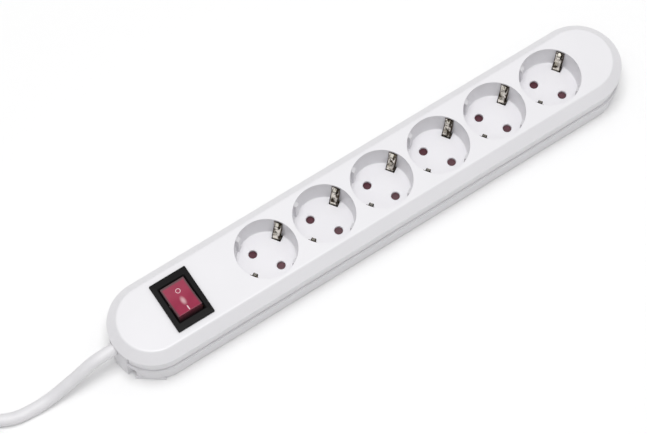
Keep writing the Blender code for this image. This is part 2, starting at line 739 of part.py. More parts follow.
def rocker_parts(finishes):
    """The rocker, its lamp and its two plungers, all about the rocker's pivot at rest."""
    pivot = empty("rocker_pivot", (SWITCH_X, 0, PIVOT_Z), (-ROCKER_TILT, 0, 0))
    half = ROCKER_Y / 2
    crest = ROCKER_CROWN + half * math.tan(ROCKER_TILT)
    right = [
        (half - 0.5 * MM, crest - 0.1 * MM),
        (half, crest - 0.8 * MM),
        (half - 0.8 * MM, -1.5 * MM),
        (half - 2.5 * MM, -2.5 * MM),
        (STEM_HALF, -2.5 * MM),
        (STEM_HALF, -STEM_DROP),
    ]
    outline = [(0, ROCKER_CROWN)] + right + [(-y, z) for y, z in reversed(right)]
    mesh = prism_x(outline, -ROCKER_X / 2, ROCKER_X / 2)
    rocker = place("rocker", mesh, finishes["rocker"], parent=pivot)
    stub = ROCKER_X / 2 + PIVOT_STUB
    shaft = moved(cylinder(PIVOT_RADIUS, -stub, stub), turn=math.pi / 2, axis="Y")
    pocket = box(
        -LAMP_LENGTH / 2 - 2 * GAP,
        LAMP_LENGTH / 2 + 2 * GAP,
        LAMP_Y - LAMP_RADIUS - 2 * GAP,
        LAMP_Y + LAMP_RADIUS + 2 * GAP,
        -4 * MM,
        LAMP_RADIUS + GAP,
    )
    bores = [
        moved(cylinder(PLUNGER_RADIUS + GAP, -STEM_DROP - MM, -MM), (x, 0, 0))
        for x in (-POLE_OFFSET, POLE_OFFSET)
    ]
    for shape, operation in ((shaft, "UNION"), (merged([pocket] + bores), "DIFFERENCE")):
        combine(rocker, shape, operation)
        rocker.modifiers[-1].object.parent = pivot
    lamp = moved(
        turned(
            [
                (0, -LAMP_LENGTH / 2),
                (LAMP_RADIUS, -LAMP_LENGTH / 2),
                (LAMP_RADIUS, LAMP_LENGTH / 2 - MM),
                (0, LAMP_LENGTH / 2),
            ],
            SMALL_STEPS,
        ),
        (0, LAMP_Y, 0),
        math.pi / 2,
        "Y",
    )
    place("neon_lamp", lamp, finishes["glass"], parent=pivot)
    for pole, x in (("live", -POLE_OFFSET), ("neutral", POLE_OFFSET)):
        profile = [
            (0, -PLUNGER_TIP),
            (PLUNGER_RADIUS / 2, -PLUNGER_TIP),
            (PLUNGER_RADIUS, -PLUNGER_TIP + PLUNGER_RADIUS),
            (PLUNGER_RADIUS, -MM - GAP),
            (0, -MM - GAP),
        ]
        mesh = moved(turned(profile, SMALL_STEPS), (x, 0, 0))
        place(f"plunger_{pole}", mesh, finishes["black"], parent=pivot)


def switch_contacts(finishes):
    half_w = LEVER_WIDTH / 2
    half_t = LEVER_STOCK / 2
    lever_low = LEVER_Z - half_t
    tab_low = SWITCH_BOTTOM - TAB_DROP
    drop = LEVER_HALF * math.sin(LEVER_TILT)
    thick = TAB_STOCK / 2
    for pole, x in (("live", -POLE_OFFSET), ("neutral", POLE_OFFSET)):
        pivot = empty(f"lever_pivot_{pole}", (SWITCH_X + x, 0, LEVER_Z), (LEVER_TILT, 0, 0))
        lever = box(-half_w, half_w, -LEVER_HALF, LEVER_HALF, -half_t, half_t)
        place(f"contact_lever_{pole}", lever, finishes["brass"], parent=pivot)
        middle = box(-half_w, half_w, -thick, thick, tab_low, lever_low - GAP)
        place(f"terminal_in_{pole}", middle, finishes["brass"], (SWITCH_X + x, 0, 0))
        fixed = box(-half_w, half_w, -thick, thick, tab_low, lever_low - drop - 2 * GAP)
        place(
            f"terminal_out_{pole}", fixed, finishes["brass"], (SWITCH_X + x, LEVER_HALF, 0)
        )


# ---- lead entry and wiring ----


def clamp_screw_tip():
    return clamp_top() + GAP - CLAMP_SCREW_LENGTH


def clamp_top():
    return CORD_Z + CORD_RADIUS + CLAMP_BRIDGE


def cord_clamp(finishes):
    low = CORD_Z - CORD_RADIUS
    radius = CORD_RADIUS + GAP
    hollow = arc(radius, 0, math.pi, 10, (0, CORD_Z))
    outline = [(CLAMP_HALF, low), (radius, low)] + hollow + [(-radius, low), (-CLAMP_HALF, low)]
    outline += [(-CLAMP_HALF, clamp_top()), (CLAMP_HALF, clamp_top())]
    mesh = prism_x(outline, ENTRY_END + GAP, SADDLE_END)
    clamp = place("cord_clamp", mesh, finishes["white"])
    middle = (ENTRY_END + SADDLE_END) / 2
    bores = [
        moved(cylinder(SCREW_RADIUS + GAP, low - MM, HEIGHT), (middle, side * CLAMP_SCREW_Y, 0))
        for side in (-1, 1)
    ]
    combine(clamp, merged(bores), "DIFFERENCE")
    head, head_height = CLAMP_SCREW_HEAD, CLAMP_SCREW_HEAD_HEIGHT
    screw = screw_mesh(head, head_height, SCREW_RADIUS, CLAMP_SCREW_LENGTH)
    for number, side in enumerate((-1, 1), 1):
        at = (middle, side * CLAMP_SCREW_Y, clamp_top() + GAP + head_height)
        turn = (math.pi, 0, 0)
        add_screw(f"clamp_screw_{number}", screw.copy(), finishes["steel"], at, turn, head)


def wiring(finishes):
    """Cores from the lead's stripped end to the switch, and on to the bars."""
    start = SADDLE_END + GAP
    under_tabs = SWITCH_BOTTOM - TAB_DROP - CORE_RADIUS - GAP
    bar_x = SOCKET_XS[0] - BAR_LEAD - GAP
    rail_y = PIN_CIRCLE * math.sin(PIN_ANGLE) + RAIL_OFFSET + RAIL_STOCK / 2
    rail_z = (RAIL_TOP + RAIL_BOTTOM) / 2
    earth_z = UNDER_Z - EARTH_BAR_DROP - BAR_THICKNESS / 2
    low = BOTTOM_WALL + CORE_RADIUS + 3 * GAP
    left, right = SWITCH_X - POLE_OFFSET, SWITCH_X + POLE_OFFSET
    passing = SWITCH_BODY_Y / 2 + 3.2 * MM
    routes = {
        "live_in_wire": (
            "live",
            [
                (start, -1.8 * MM, CORD_Z - MM),
                (start + 3 * MM, -1.9 * MM, CORD_Z - 1.2 * MM),
                (start + 8 * MM, -4 * MM, CORD_Z - 5 * MM),
                (start + 14 * MM, -6 * MM, under_tabs + 6 * MM),
                (left - 5 * MM, -3 * MM, under_tabs + 0.5 * MM),
                (left - 2 * MM, -1.2 * MM, under_tabs),
                (left + MM, 0.6 * MM, under_tabs),
            ],
        ),
        "neutral_in_wire": (
            "neutral",
            [
                (start, 1.8 * MM, CORD_Z - MM),
                (start + 3 * MM, 2 * MM, CORD_Z - 1.2 * MM),
                (start + 8 * MM, 5 * MM, CORD_Z - 6 * MM),
                (start + 15 * MM, 5 * MM, low + 5 * MM),
                (left, 4 * MM, low),
                (left + 5 * MM, 2 * MM, (low + under_tabs) / 2),
                (right - MM, 0.2 * MM, under_tabs),
                (right + MM, 0, under_tabs),
            ],
        ),
        "earth_wire": (
            "earth",
            [
                (start, 0, CORD_Z + 1.9 * MM),
                (start + 3 * MM, -0.3 * MM, CORD_Z + 2 * MM),
                (start + 8 * MM, -3 * MM, CORD_Z + 1.5 * MM),
                (start + 14 * MM, -12 * MM, CORD_Z - 4 * MM),
                (SWITCH_X - SWITCH_BODY_X / 2, -passing, CORD_Z - 9 * MM),
                (SWITCH_X + SWITCH_BODY_X / 2, -passing, earth_z + MM),
                (bar_x - 13 * MM, -6 * MM, earth_z),
                (bar_x - 5 * MM, 0, earth_z),
                (bar_x, 0, earth_z),
            ],
        ),
        "live_out_wire": (
            "live",
            [
                (left - MM, LEVER_HALF, under_tabs),
                (left + MM, LEVER_HALF + 0.4 * MM, under_tabs),
                (left + 5 * MM, LEVER_HALF + 4 * MM, (low + under_tabs) / 2),
                (SWITCH_X + 8 * MM, rail_y + 2 * MM, low),
                (bar_x - 8 * MM, rail_y, rail_z - MM),
                (bar_x, rail_y, rail_z),
            ],
        ),
        "neutral_out_wire": (
            "neutral",
            [
                (right - MM, LEVER_HALF, under_tabs),
                (right + MM, LEVER_HALF - 0.4 * MM, under_tabs),
                (right + 5 * MM, 3 * MM, (low + under_tabs) / 2),
                (right + 12 * MM, -rail_y / 2, low),
                (bar_x - 8 * MM, -rail_y, rail_z - MM),
                (bar_x, -rail_y, rail_z),
            ],
        ),
    }
    for name, (core, points) in routes.items():
        tube(name, smooth_route(points, 5 * MM), CORE_RADIUS, finishes[core], 1)


# ---- the free lead ----


def lead(finishes):
    """The lead from its stripped end out of the entry and down to the floor, then to the hank."""
    to_hank = [
        (-0.1665, 0.0000, 0.0258),
        (-0.1760, 0.0000, 0.0258),
        (-0.1860, 0.0000, 0.0258),
        (-0.2000, 0.0000, 0.0241),
        (-0.2160, 0.0002, 0.0150),
        (-0.2310, 0.0006, 0.0066),
        (-0.2450, 0.0011, 0.0043),
        (-0.2580, 0.0030, 0.0043),
        (-0.2725, 0.0105, 0.0047),
        (-0.2855, 0.0172, 0.0053),
    ]
    tube("cord_lead", smooth_route(to_hank, 8 * MM), CORD_RADIUS, finishes["cord"], 2)
    to_plug = [
        (-0.4132, 0.0145, 0.0201),
        (-0.4220, 0.0128, 0.0180),
        (-0.4320, 0.0105, 0.0151),
        (-0.4420, 0.0087, 0.0128),
        (-0.4526, 0.0080, 0.0120),
    ]
    tube("cord_tail", smooth_route(to_plug, 7 * MM), CORD_RADIUS, finishes["cord"], 2)


def hank_outline(radius):
    """An outline with round ends about the hank's two loop centres."""
    near = arc(radius, -math.pi / 2, math.pi / 2, 12, (HANK_X, HANK_Y))
    far = arc(radius, math.pi / 2, 3 * math.pi / 2, 12, (HANK_X - HANK_RUN, HANK_Y))
    return near + far


def hank(finishes):
    place(
        "cord_hank", prism(hank_outline(HANK_RADIUS), HANK_BOTTOM, HANK_TOP), finishes["cord"]
    )
    middle = HANK_X - HANK_RUN / 2
    inner = HANK_RADIUS + GAP
    outer = inner + STRAP_STOCK
    low, high = HANK_BOTTOM - GAP, HANK_TOP + GAP
    strap = box(
        middle - STRAP_WIDTH / 2,
        middle + STRAP_WIDTH / 2,
        HANK_Y - outer,
        HANK_Y + outer,
        low - STRAP_STOCK,
        high + STRAP_STOCK,
    )
    tie = place("cord_tie", strap, finishes["strap"])
    hollow = box(
        middle - STRAP_WIDTH, middle + STRAP_WIDTH, HANK_Y - inner, HANK_Y + inner, low, high
    )
    combine(tie, hollow, "DIFFERENCE")


def plug(finishes):
    """An angled plug about the origin of an empty, its lead leaving towards +X."""
    at = (PLUG_X, PLUG_Y, 0)
    back = PLUG_BACK_RADIUS
    profile = [
        (0, 0),
        (back - 2 * MM, 0),
        (back, 2.5 * MM),
        (back, PLUG_BACK_HEIGHT - 2 * MM),
        (PLUG_FACE_RADIUS, PLUG_BACK_HEIGHT),
        (PLUG_FACE_RADIUS, PLUG_FACE_Z - MM),
        (PLUG_FACE_RADIUS - MM, PLUG_FACE_Z),
        (0, PLUG_FACE_Z),
    ]
    body = place("plug_body", turned(profile, WELL_STEPS), finishes["plug"], at)
    neck = moved(
        cylinder(RELIEF_ROOT + MM, 0, back + 0.5 * MM), (0, 0, PLUG_CORD_Z), math.pi / 2, "Y"
    )
    pins = [
        moved(
            cylinder(PLUG_PIN_RADIUS + GAP, PLUG_FACE_Z - PLUG_PIN_ROOT - GAP, PLUG_FACE_Z + MM),
            (0, side * PIN_CIRCLE, 0),
        )
        for side in (-1, 1)
    ]
    half = PLUG_EARTH_WIDTH / 2
    face = PLUG_FACE_RADIUS - PLUG_RECESS
    cuts = list(pins)
    for side in (-1, 1):
        low, high = sorted((side * face, side * (PLUG_FACE_RADIUS + MM)))
        cuts.append(box(low, high, -half, half, PLUG_BACK_HEIGHT + 2 * MM, PLUG_FACE_Z + MM))
    for shape, operation in ((neck, "UNION"), (merged(cuts), "DIFFERENCE")):
        combine(body, shape, operation)
        body.modifiers[-1].object.location = at
    low = PLUG_FACE_Z - PLUG_PIN_ROOT
    high = PLUG_FACE_Z + PLUG_PIN_LENGTH
    for number, side in enumerate((-1, 1), 1):
        profile = [
            (0, low),
            (PLUG_PIN_RADIUS, low),
            (PLUG_PIN_RADIUS, high - PLUG_PIN_RADIUS),
            (PLUG_PIN_RADIUS * 0.72, high - PLUG_PIN_RADIUS * 0.3),
            (0, high),
        ]
        pin_at = (PLUG_X, PLUG_Y + side * PIN_CIRCLE, 0)
        place(f"plug_pin_{number}", turned(profile, SMALL_STEPS), finishes["nickel"], pin_at)
        inner, outer = sorted((side * (face + GAP), side * (face + GAP + CLIP_THICKNESS)))
        strip = box(
            inner, outer, -half + GAP, half - GAP, PLUG_BACK_HEIGHT + 2 * MM + GAP, PLUG_FACE_Z
        )
        place(f"plug_earth_contact_{number}", strip, finishes["nickel"], at)
    root = back + 0.5 * MM + GAP
    profile = [(0, root), (RELIEF_ROOT, root), (RELIEF_TIP, root + RELIEF_LENGTH)]
    profile.append((0, root + RELIEF_LENGTH))
    cone = moved(turned(profile, SMALL_STEPS), (0, 0, PLUG_CORD_Z), math.pi / 2, "Y")
    place("plug_strain_relief", cone, finishes["plug"], at)


def main():
    clear_scene()
    finishes = {
        "white": material("white_moulding", (0.82, 0.82, 0.83), 0.35),
        "black": material("black_nylon", (0.02, 0.02, 0.022), 0.4),
        "rocker": material("red_rocker", (0.42, 0.03, 0.07), 0.2),
        "glass": material("lamp_glass", (0.9, 0.6, 0.4), 0.1),
        "shutter": material("maroon_shutter", (0.12, 0.02, 0.04), 0.5),
        "steel": material("zinc_steel", (0.62, 0.62, 0.64), 0.35, 1.0),
        "nickel": material("nickel_plate", (0.66, 0.62, 0.56), 0.22, 1.0),
        "brass": material("brass_strip", (0.8, 0.6, 0.3), 0.3, 1.0),
        "cord": material("white_pvc", (0.8, 0.8, 0.81), 0.45),
        "plug": material("white_plug", (0.8, 0.8, 0.81), 0.4),
        "strap": material("grey_strap", (0.25, 0.25, 0.27), 0.9),
        "live": material("brown_core", (0.2, 0.08, 0.03), 0.5),
        "neutral": material("blue_core", (0.05, 0.2, 0.6), 0.5),
        "earth": material("green_yellow_core", (0.3, 0.55, 0.08), 0.5),
    }
    top_shell(finishes["white"])
    bottom_shell(finishes["white"])
    housing_screws(finishes["steel"])
    sockets(finishes)
    switch_housing(finishes["black"])
    rocker_parts(finishes)
    switch_contacts(finishes)
    cord_clamp(finishes)
    wiring(finishes)
    lead(finishes)
    hank(finishes)
    plug(finishes)


main()
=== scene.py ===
import math

import bmesh
import bpy
import numpy as np
from mathutils import Matrix, Vector


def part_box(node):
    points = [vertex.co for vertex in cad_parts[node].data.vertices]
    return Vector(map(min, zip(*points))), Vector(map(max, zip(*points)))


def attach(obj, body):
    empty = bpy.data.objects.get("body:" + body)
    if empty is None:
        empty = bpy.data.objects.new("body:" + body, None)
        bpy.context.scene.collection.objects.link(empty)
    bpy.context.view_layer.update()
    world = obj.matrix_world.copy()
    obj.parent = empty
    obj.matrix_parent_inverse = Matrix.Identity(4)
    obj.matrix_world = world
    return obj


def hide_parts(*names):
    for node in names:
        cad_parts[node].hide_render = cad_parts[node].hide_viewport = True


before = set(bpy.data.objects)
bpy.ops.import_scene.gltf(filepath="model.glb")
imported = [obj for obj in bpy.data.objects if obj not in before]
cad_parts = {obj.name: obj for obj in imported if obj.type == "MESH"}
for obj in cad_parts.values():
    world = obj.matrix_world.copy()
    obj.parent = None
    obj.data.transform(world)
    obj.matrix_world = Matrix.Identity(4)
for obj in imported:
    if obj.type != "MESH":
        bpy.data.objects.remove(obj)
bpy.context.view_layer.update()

mm = 0.001
scene = bpy.context.scene


def gridMesh(points, wrapRows=False, caps=False, size=(1.0, 1.0)):
    # a surface on a grid of points (rows, columns, 3), closed across its columns: a quad between
    # each four neighbours, and a map whose U and V run over size, in metres
    rows, columns = points.shape[:2]
    along = rows + wrapRows
    corner = np.array([(0, 0), (0, 1), (1, 1), (1, 0)])
    down, over = np.meshgrid(np.arange(along - 1), np.arange(columns), indexing="ij")
    down, over = down.reshape(-1, 1) + corner[:, 0], over.reshape(-1, 1) + corner[:, 1]
    quads = (down % rows) * columns + over % columns
    ends = [np.arange(columns)[::-1], np.arange(columns) + (rows - 1) * columns]
    ends = [end.tolist() for end in ends] if caps else []
    mesh = bpy.data.meshes.new("grid")
    mesh.from_pydata(points.reshape(-1, 3).tolist(), [], quads.tolist() + ends)
    uv = np.stack([over / (columns + 1) * size[0], down / along * size[1]], axis=-1)
    uv = np.vstack([uv.reshape(-1, 2), np.zeros((columns * len(ends), 2))])
    mesh.uv_layers.new(name="map").data.foreach_set("uv", uv.astype(np.float32).ravel())
    return tidied(mesh)


def tidied(mesh):
    # the same mesh with its faces turned outwards
    work = bmesh.new()
    work.from_mesh(mesh)
    bmesh.ops.recalc_face_normals(work, faces=work.faces)
    work.to_mesh(mesh)
    work.free()
    return mesh


def joined(meshes):
    # all the meshes as one
    work = bmesh.new()
    for mesh in meshes:
        work.from_mesh(mesh)
    result = bpy.data.meshes.new("joined")
    work.to_mesh(result)
    work.free()
    return result


def turnedAbout(mesh, angle=0.0, axis="Z", place=(0, 0, 0)):
    # turned by an angle about an axis through the origin, then moved to its place
    mesh.transform(Matrix.Translation(place) @ Matrix.Rotation(angle, 4, axis))
    return mesh


def roundedLine(corners, radii, steps=6):
    # a broken line whose inner corners are cut back and joined by arcs (quadratic, tangent to
    # both sides)
    corners = np.array(corners, float)
    t = np.linspace(0, 1, steps)[:, None]
    line = [corners[:1]]
    for before, corner, after, radius in zip(corners, corners[1:], corners[2:], radii):
        back, on = before - corner, after - corner
        backLength, onLength = np.linalg.norm(back), np.linalg.norm(on)
        bend = math.pi - math.acos(np.clip(back @ on / backLength / onLength, -1, 1))
        cut = min(radius * math.tan(bend / 2), 0.48 * backLength, 0.48 * onLength)
        start, end = corner + back / backLength * cut, corner + on / onLength * cut
        line.append((1 - t) ** 2 * start + 2 * t * (1 - t) * corner + t**2 * end)
    return np.vstack(line + [corners[-1:]])


def turnedGrid(profile, steps):
    # (radius, height) points turned about Z
    angle = np.linspace(0, 2 * math.pi, steps, endpoint=False)
    radius, height = np.array(profile, float).T[:, :, None]
    return np.stack([radius * np.cos(angle), radius * np.sin(angle), height + 0 * angle], axis=-1)


def turned(profile, steps, angle=0.0, axis="Z", place=(0, 0, 0), ring=False):
    # a profile turned about Z, closed by caps or, for a ring, by itself, and then set in place
    mesh = gridMesh(turnedGrid(profile, steps), wrapRows=ring, caps=not ring)
    return turnedAbout(mesh, angle, axis, place)


def stadiumGrid(profile, middle, steps):
    # (half width, height) points carried round two half circles about x = middle and -middle
    half, height = np.array(profile, float).T[:, :, None]
    angle = np.linspace(-math.pi / 2, math.pi / 2, steps + 1)
    angle = np.concatenate([angle, angle + math.pi])
    centre = middle * np.where(np.arange(len(angle)) <= steps, 1.0, -1.0)
    x, y = centre + half * np.cos(angle), half * np.sin(angle)
    return np.stack([x, y, height + 0 * angle], axis=-1)


def rectangleGrid(profile, steps=6):
    # (half x, half y, corner radius, height) points carried round a rectangle with round corners
    halfX, halfY, radius, height = np.array(profile, float).T[:, :, None]
    angle = np.linspace(0, math.pi / 2, steps)
    angle = np.concatenate([angle + k * math.pi / 2 for k in range(4)])
    signX = np.repeat([1, -1, -1, 1], steps)
    signY = np.repeat([1, 1, -1, -1], steps)
    x = signX * (halfX - radius) + radius * np.cos(angle)
    y = signY * (halfY - radius) + radius * np.sin(angle)
    return np.stack([x, y, height + 0 * angle], axis=-1)


def prismMesh(outline, low, high, edge=0.0):
    # an outline carried up Z, its two rims drawn in by edge towards the middle and rounded
    outline = np.array(outline, float)
    middle = outline.mean(axis=0)
    away = outline - middle
    away /= np.linalg.norm(away, axis=1, keepdims=True)
    turn = np.linspace(0, math.pi / 2, 4) if edge else np.zeros(1)
    inset = edge * (1 - np.sin(turn))
    height = edge * (1 - np.cos(turn))
    rise = np.concatenate([low + height, (high - height)[::-1]])
    inset = np.concatenate([inset, inset[::-1]])
    flat = outline[None] - inset[:, None, None] * away[None]
    return gridMesh(np.dstack([flat, rise[:, None] + 0 * flat[..., 0]]), caps=True)


def boxMesh(x0, x1, y0, y1, z0, z1, corner=0.0):
    # a block between two corners, its upright edges rounded to the corner radius
    profile = [((x1 - x0) / 2, (y1 - y0) / 2, corner, z) for z in (z0, z1)]
    mesh = gridMesh(rectangleGrid(profile, 5 if corner else 1), caps=True)
    return turnedAbout(mesh, place=((x0 + x1) / 2, (y0 + y1) / 2, 0))


def arcPoints(radius, start, end, steps, centre=0.0):
    # points at even angles round a circle about x = centre
    angle = np.linspace(start, end, steps)
    return np.stack([centre + radius * np.cos(angle), radius * np.sin(angle)], axis=1)


def runAlong(points):
    # how far along a line each of its points lies
    return np.concatenate([[0], np.cumsum(np.linalg.norm(np.diff(points, axis=0), axis=1))])


def evenSteps(points, spacing):
    # the same line with points at even steps along it
    points = np.array(points, float)
    run = runAlong(points)
    even = np.linspace(0, run[-1], int(run[-1] / spacing) + 1)
    return np.stack([np.interp(even, run, column) for column in points.T], axis=1)


def splinePoints(knots, spacing):
    # a smooth curve through the knots (Catmull-Rom), cut into even steps by its length
    knots = np.array(knots, float)
    knots = np.vstack([2 * knots[0] - knots[1], knots, 2 * knots[-1] - knots[-2]])
    a, b, c, d = (knots[i : len(knots) - 3 + i, None] for i in range(4))
    t = np.linspace(0, 1, 24, endpoint=False)[None, :, None]
    fine = b + (c - a) * t / 2 + (2 * a - 5 * b + 4 * c - d) * t**2 / 2
    fine = fine + (3 * b - a - 3 * c + d) * t**3 / 2
    return evenSteps(np.vstack([fine.reshape(-1, knots.shape[1]), knots[-2]]), spacing)


def tubeGrid(path, radius, sides, ripple=0.0, lay=1.0):
    # rings round a path: centre + radius (cos a side + sin a up), with up as near Z as the path
    # allows, and three soft ridges that turn once in each lay
    ahead = np.gradient(path, axis=0)
    ahead /= np.linalg.norm(ahead, axis=1, keepdims=True)
    side = np.cross(ahead, [0, 0, 1])
    side /= np.linalg.norm(side, axis=1, keepdims=True)
    up = np.cross(side, ahead)
    angle = np.linspace(0, 2 * math.pi, sides, endpoint=False)
    twist = 2 * math.pi * runAlong(path)[:, None] / lay
    ridge = 1 + ripple * (np.cos(3 * (angle[None] - twist)) - 1)
    across = np.cos(angle)[:, None] * side[:, None] + np.sin(angle)[:, None] * up[:, None]
    return path[:, None] + (radius * ridge)[..., None] * across


def stripGrid(path, width, thick, closed=False, relief=None, columns=32):
    # a flat strip along a path of (u, z) points: its section is a flattened oval (a superellipse)
    # that spans width along Y, and relief(share across) lifts it off the path
    path = np.array(path, float)
    if closed:
        ahead = np.roll(path, -1, axis=0) - np.roll(path, 1, axis=0)
    else:
        ahead = np.gradient(path, axis=0)
    ahead /= np.linalg.norm(ahead, axis=1, keepdims=True)
    normal = np.stack([-ahead[:, 1], ahead[:, 0]], axis=1)
    angle = np.linspace(0, 2 * math.pi, columns, endpoint=False)
    flat = 0.4  # the power that makes the oval nearly square
    across, lift = (np.sign(way) * np.abs(way) ** flat for way in (np.cos(angle), np.sin(angle)))
    lift = np.tile(lift * thick / 2, (len(path), 1))
    if relief:
        lift += relief(across)
    face = path[:, None] + lift[..., None] * normal[:, None]
    spread = np.broadcast_to(width / 2 * across, lift.shape)
    return np.stack([face[..., 0], spread, face[..., 1]], axis=-1)


def modified(mesh, kind, **settings):
    # the mesh as one modifier leaves it
    body = bpy.data.objects.new("body", mesh)
    scene.collection.objects.link(body)
    change = body.modifiers.new("change", kind)
    for name, value in settings.items():
        setattr(change, name, value)
    graph = bpy.context.evaluated_depsgraph_get()
    result = bpy.data.meshes.new_from_object(body.evaluated_get(graph))
    bpy.data.objects.remove(body)
    return result


def combine(mesh, tools, operation):
    # adds or cuts all the tools at once with the exact solver, and gives the new mesh
    tool = bpy.data.objects.new("tool", joined(tools))
    scene.collection.objects.link(tool)
    result = modified(mesh, "BOOLEAN", operation=operation, solver="EXACT", object=tool)
    bpy.data.objects.remove(tool)
    return result


def bevelled(mesh, width, segments, angle):
    # the mesh with each edge that turns by more than the angle, in degrees, rounded
    limit = {"limit_method": "ANGLE", "angle_limit": math.radians(angle)}
    return modified(mesh, "BEVEL", width=width, segments=segments, **limit)


def addPiece(name, mesh, body, finish, replaced=(), sharp=35):
    # one piece at the origin, shaded smooth up to a sharp angle, that rides on a body
    mesh.name = name
    mesh.materials.clear()
    mesh.materials.append(finishes[finish])
    mesh.shade_smooth()
    mesh.set_sharp_from_angle(angle=math.radians(sharp))
    piece = bpy.data.objects.new(name, mesh)
    scene.collection.objects.link(piece)
    weighted = piece.modifiers.new("even shading", "WEIGHTED_NORMAL")
    weighted.keep_sharp = True
    weighted.weight = 80
    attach(piece, body)
    if replaced:
        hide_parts(*replaced)
    return piece


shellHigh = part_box("top_shell")[1]
body = {
    "end": float(shellHigh[0]),
    "half": float(shellHigh[1]),
    "top": float(shellHigh[2]),
    "arc": 72,  # steps in each half circle
}
body["middle"] = body["end"] - body["half"]  # centre of the end's half circle
wellCentres = [float(sum(corner[0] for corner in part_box(f"shutter_{n}")) / 2) for n in range(1, 7)]
screwCentres = [np.add(*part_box(f"housing_screw_{n}"))[:2] / 2 for n in range(1, 8)]
switchX = float(sum(corner[0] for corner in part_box("switch_housing")) / 2)


def linear(code):
    # an sRGB hex colour as linear red, green, blue and alpha 1
    shade = np.array([int(code[i : i + 2], 16) for i in (0, 2, 4)]) / 255
    shade = np.where(shade <= 0.04045, shade / 12.92, ((shade + 0.055) / 1.055) ** 2.4)
    return (*shade.tolist(), 1.0)


def addNode(tree, kind, inputs=None, ramp=(), **settings):
    # one node with its settings, its inputs set or linked, and a ramp's positions and colours
    node = tree.nodes.new("ShaderNode" + kind)
    for name, value in settings.items():
        setattr(node, name, value)
    for name, value in (inputs or {}).items():
        if isinstance(value, bpy.types.NodeSocket):
            tree.links.new(value, node.inputs[name])
        else:
            node.inputs[name].default_value = value
    for i, (position, code) in enumerate(ramp):
        step = node.color_ramp.elements[i]
        step.position, step.color = position, linear(code)
    return node


def startFinish(name, **sockets):
    # a material with its shader's own sockets set, and the Object coordinates it reads
    finish = bpy.data.materials.new(name)
    finish.use_nodes = True
    tree = finish.node_tree
    shader = tree.nodes["Principled BSDF"]
    for socket, value in sockets.items():
        shader.inputs[socket.replace("_", " ")].default_value = value
    return finish, tree, shader, addNode(tree, "TexCoord").outputs["Object"]


def mottle(tree, where, shader, colours, patch, gloss):
    # the colour (light, dark) and the gloss (low, high) drift softly over patches of one size
    noise = {"Vector": where, "Scale": 1 / patch, "Detail": 3.0}
    noise = addNode(tree, "TexNoise", noise).outputs["Fac"]
    drift = {0: noise, 6: linear(colours[1]), 7: linear(colours[0])}
    drift = addNode(tree, "Mix", drift, data_type="RGBA").outputs[2]
    tree.links.new(drift, shader.inputs["Base Color"])
    limits = {"Value": noise, "To Min": gloss[0], "To Max": gloss[1]}
    rough = addNode(tree, "MapRange", limits).outputs["Result"]
    tree.links.new(rough, shader.inputs["Roughness"])
    return drift


def grain(tree, where, shader, spacing, depth, detail=2.0, stretch=None):
    # fine bumps of one spacing and depth, in metres, drawn out along one axis where stretch says
    if stretch:
        where = addNode(tree, "Mapping", {"Vector": where, "Scale": stretch}).outputs["Vector"]
    noise = {"Vector": where, "Scale": 1 / spacing, "Detail": detail}
    noise = addNode(tree, "TexNoise", noise).outputs["Fac"]
    bump = addNode(tree, "Bump", {"Height": noise, "Distance": depth, "Strength": 0.6})
    tree.links.new(bump.outputs["Normal"], shader.inputs["Normal"])


def cloudedFinish(name, colours, patch, gloss, bumps, **sockets):
    # a finish that is only mottled and grained
    finish, tree, shader, where = startFinish(name, **sockets)
    mottle(tree, where, shader, colours, patch, gloss)
    grain(tree, where, shader, *bumps)
    return finish


rocker = {
    "halfX": 8.4 * mm,
    "halfY": 11.4 * mm,
    "crown": 3.6 * mm,
    "stem": 3.0 * mm,
    "stemDrop": 6.0 * mm,
    "valley": 3.5 * mm,
    "painted_edge_shade": (1.7 * mm, 0.3 * mm),  # how far in from its edges the painted edge shade starts and is full
    "painted_lamp_glow": (0.3 * mm, 2.2 * mm),  # where the lamp's painted glow starts to fade and is gone
}


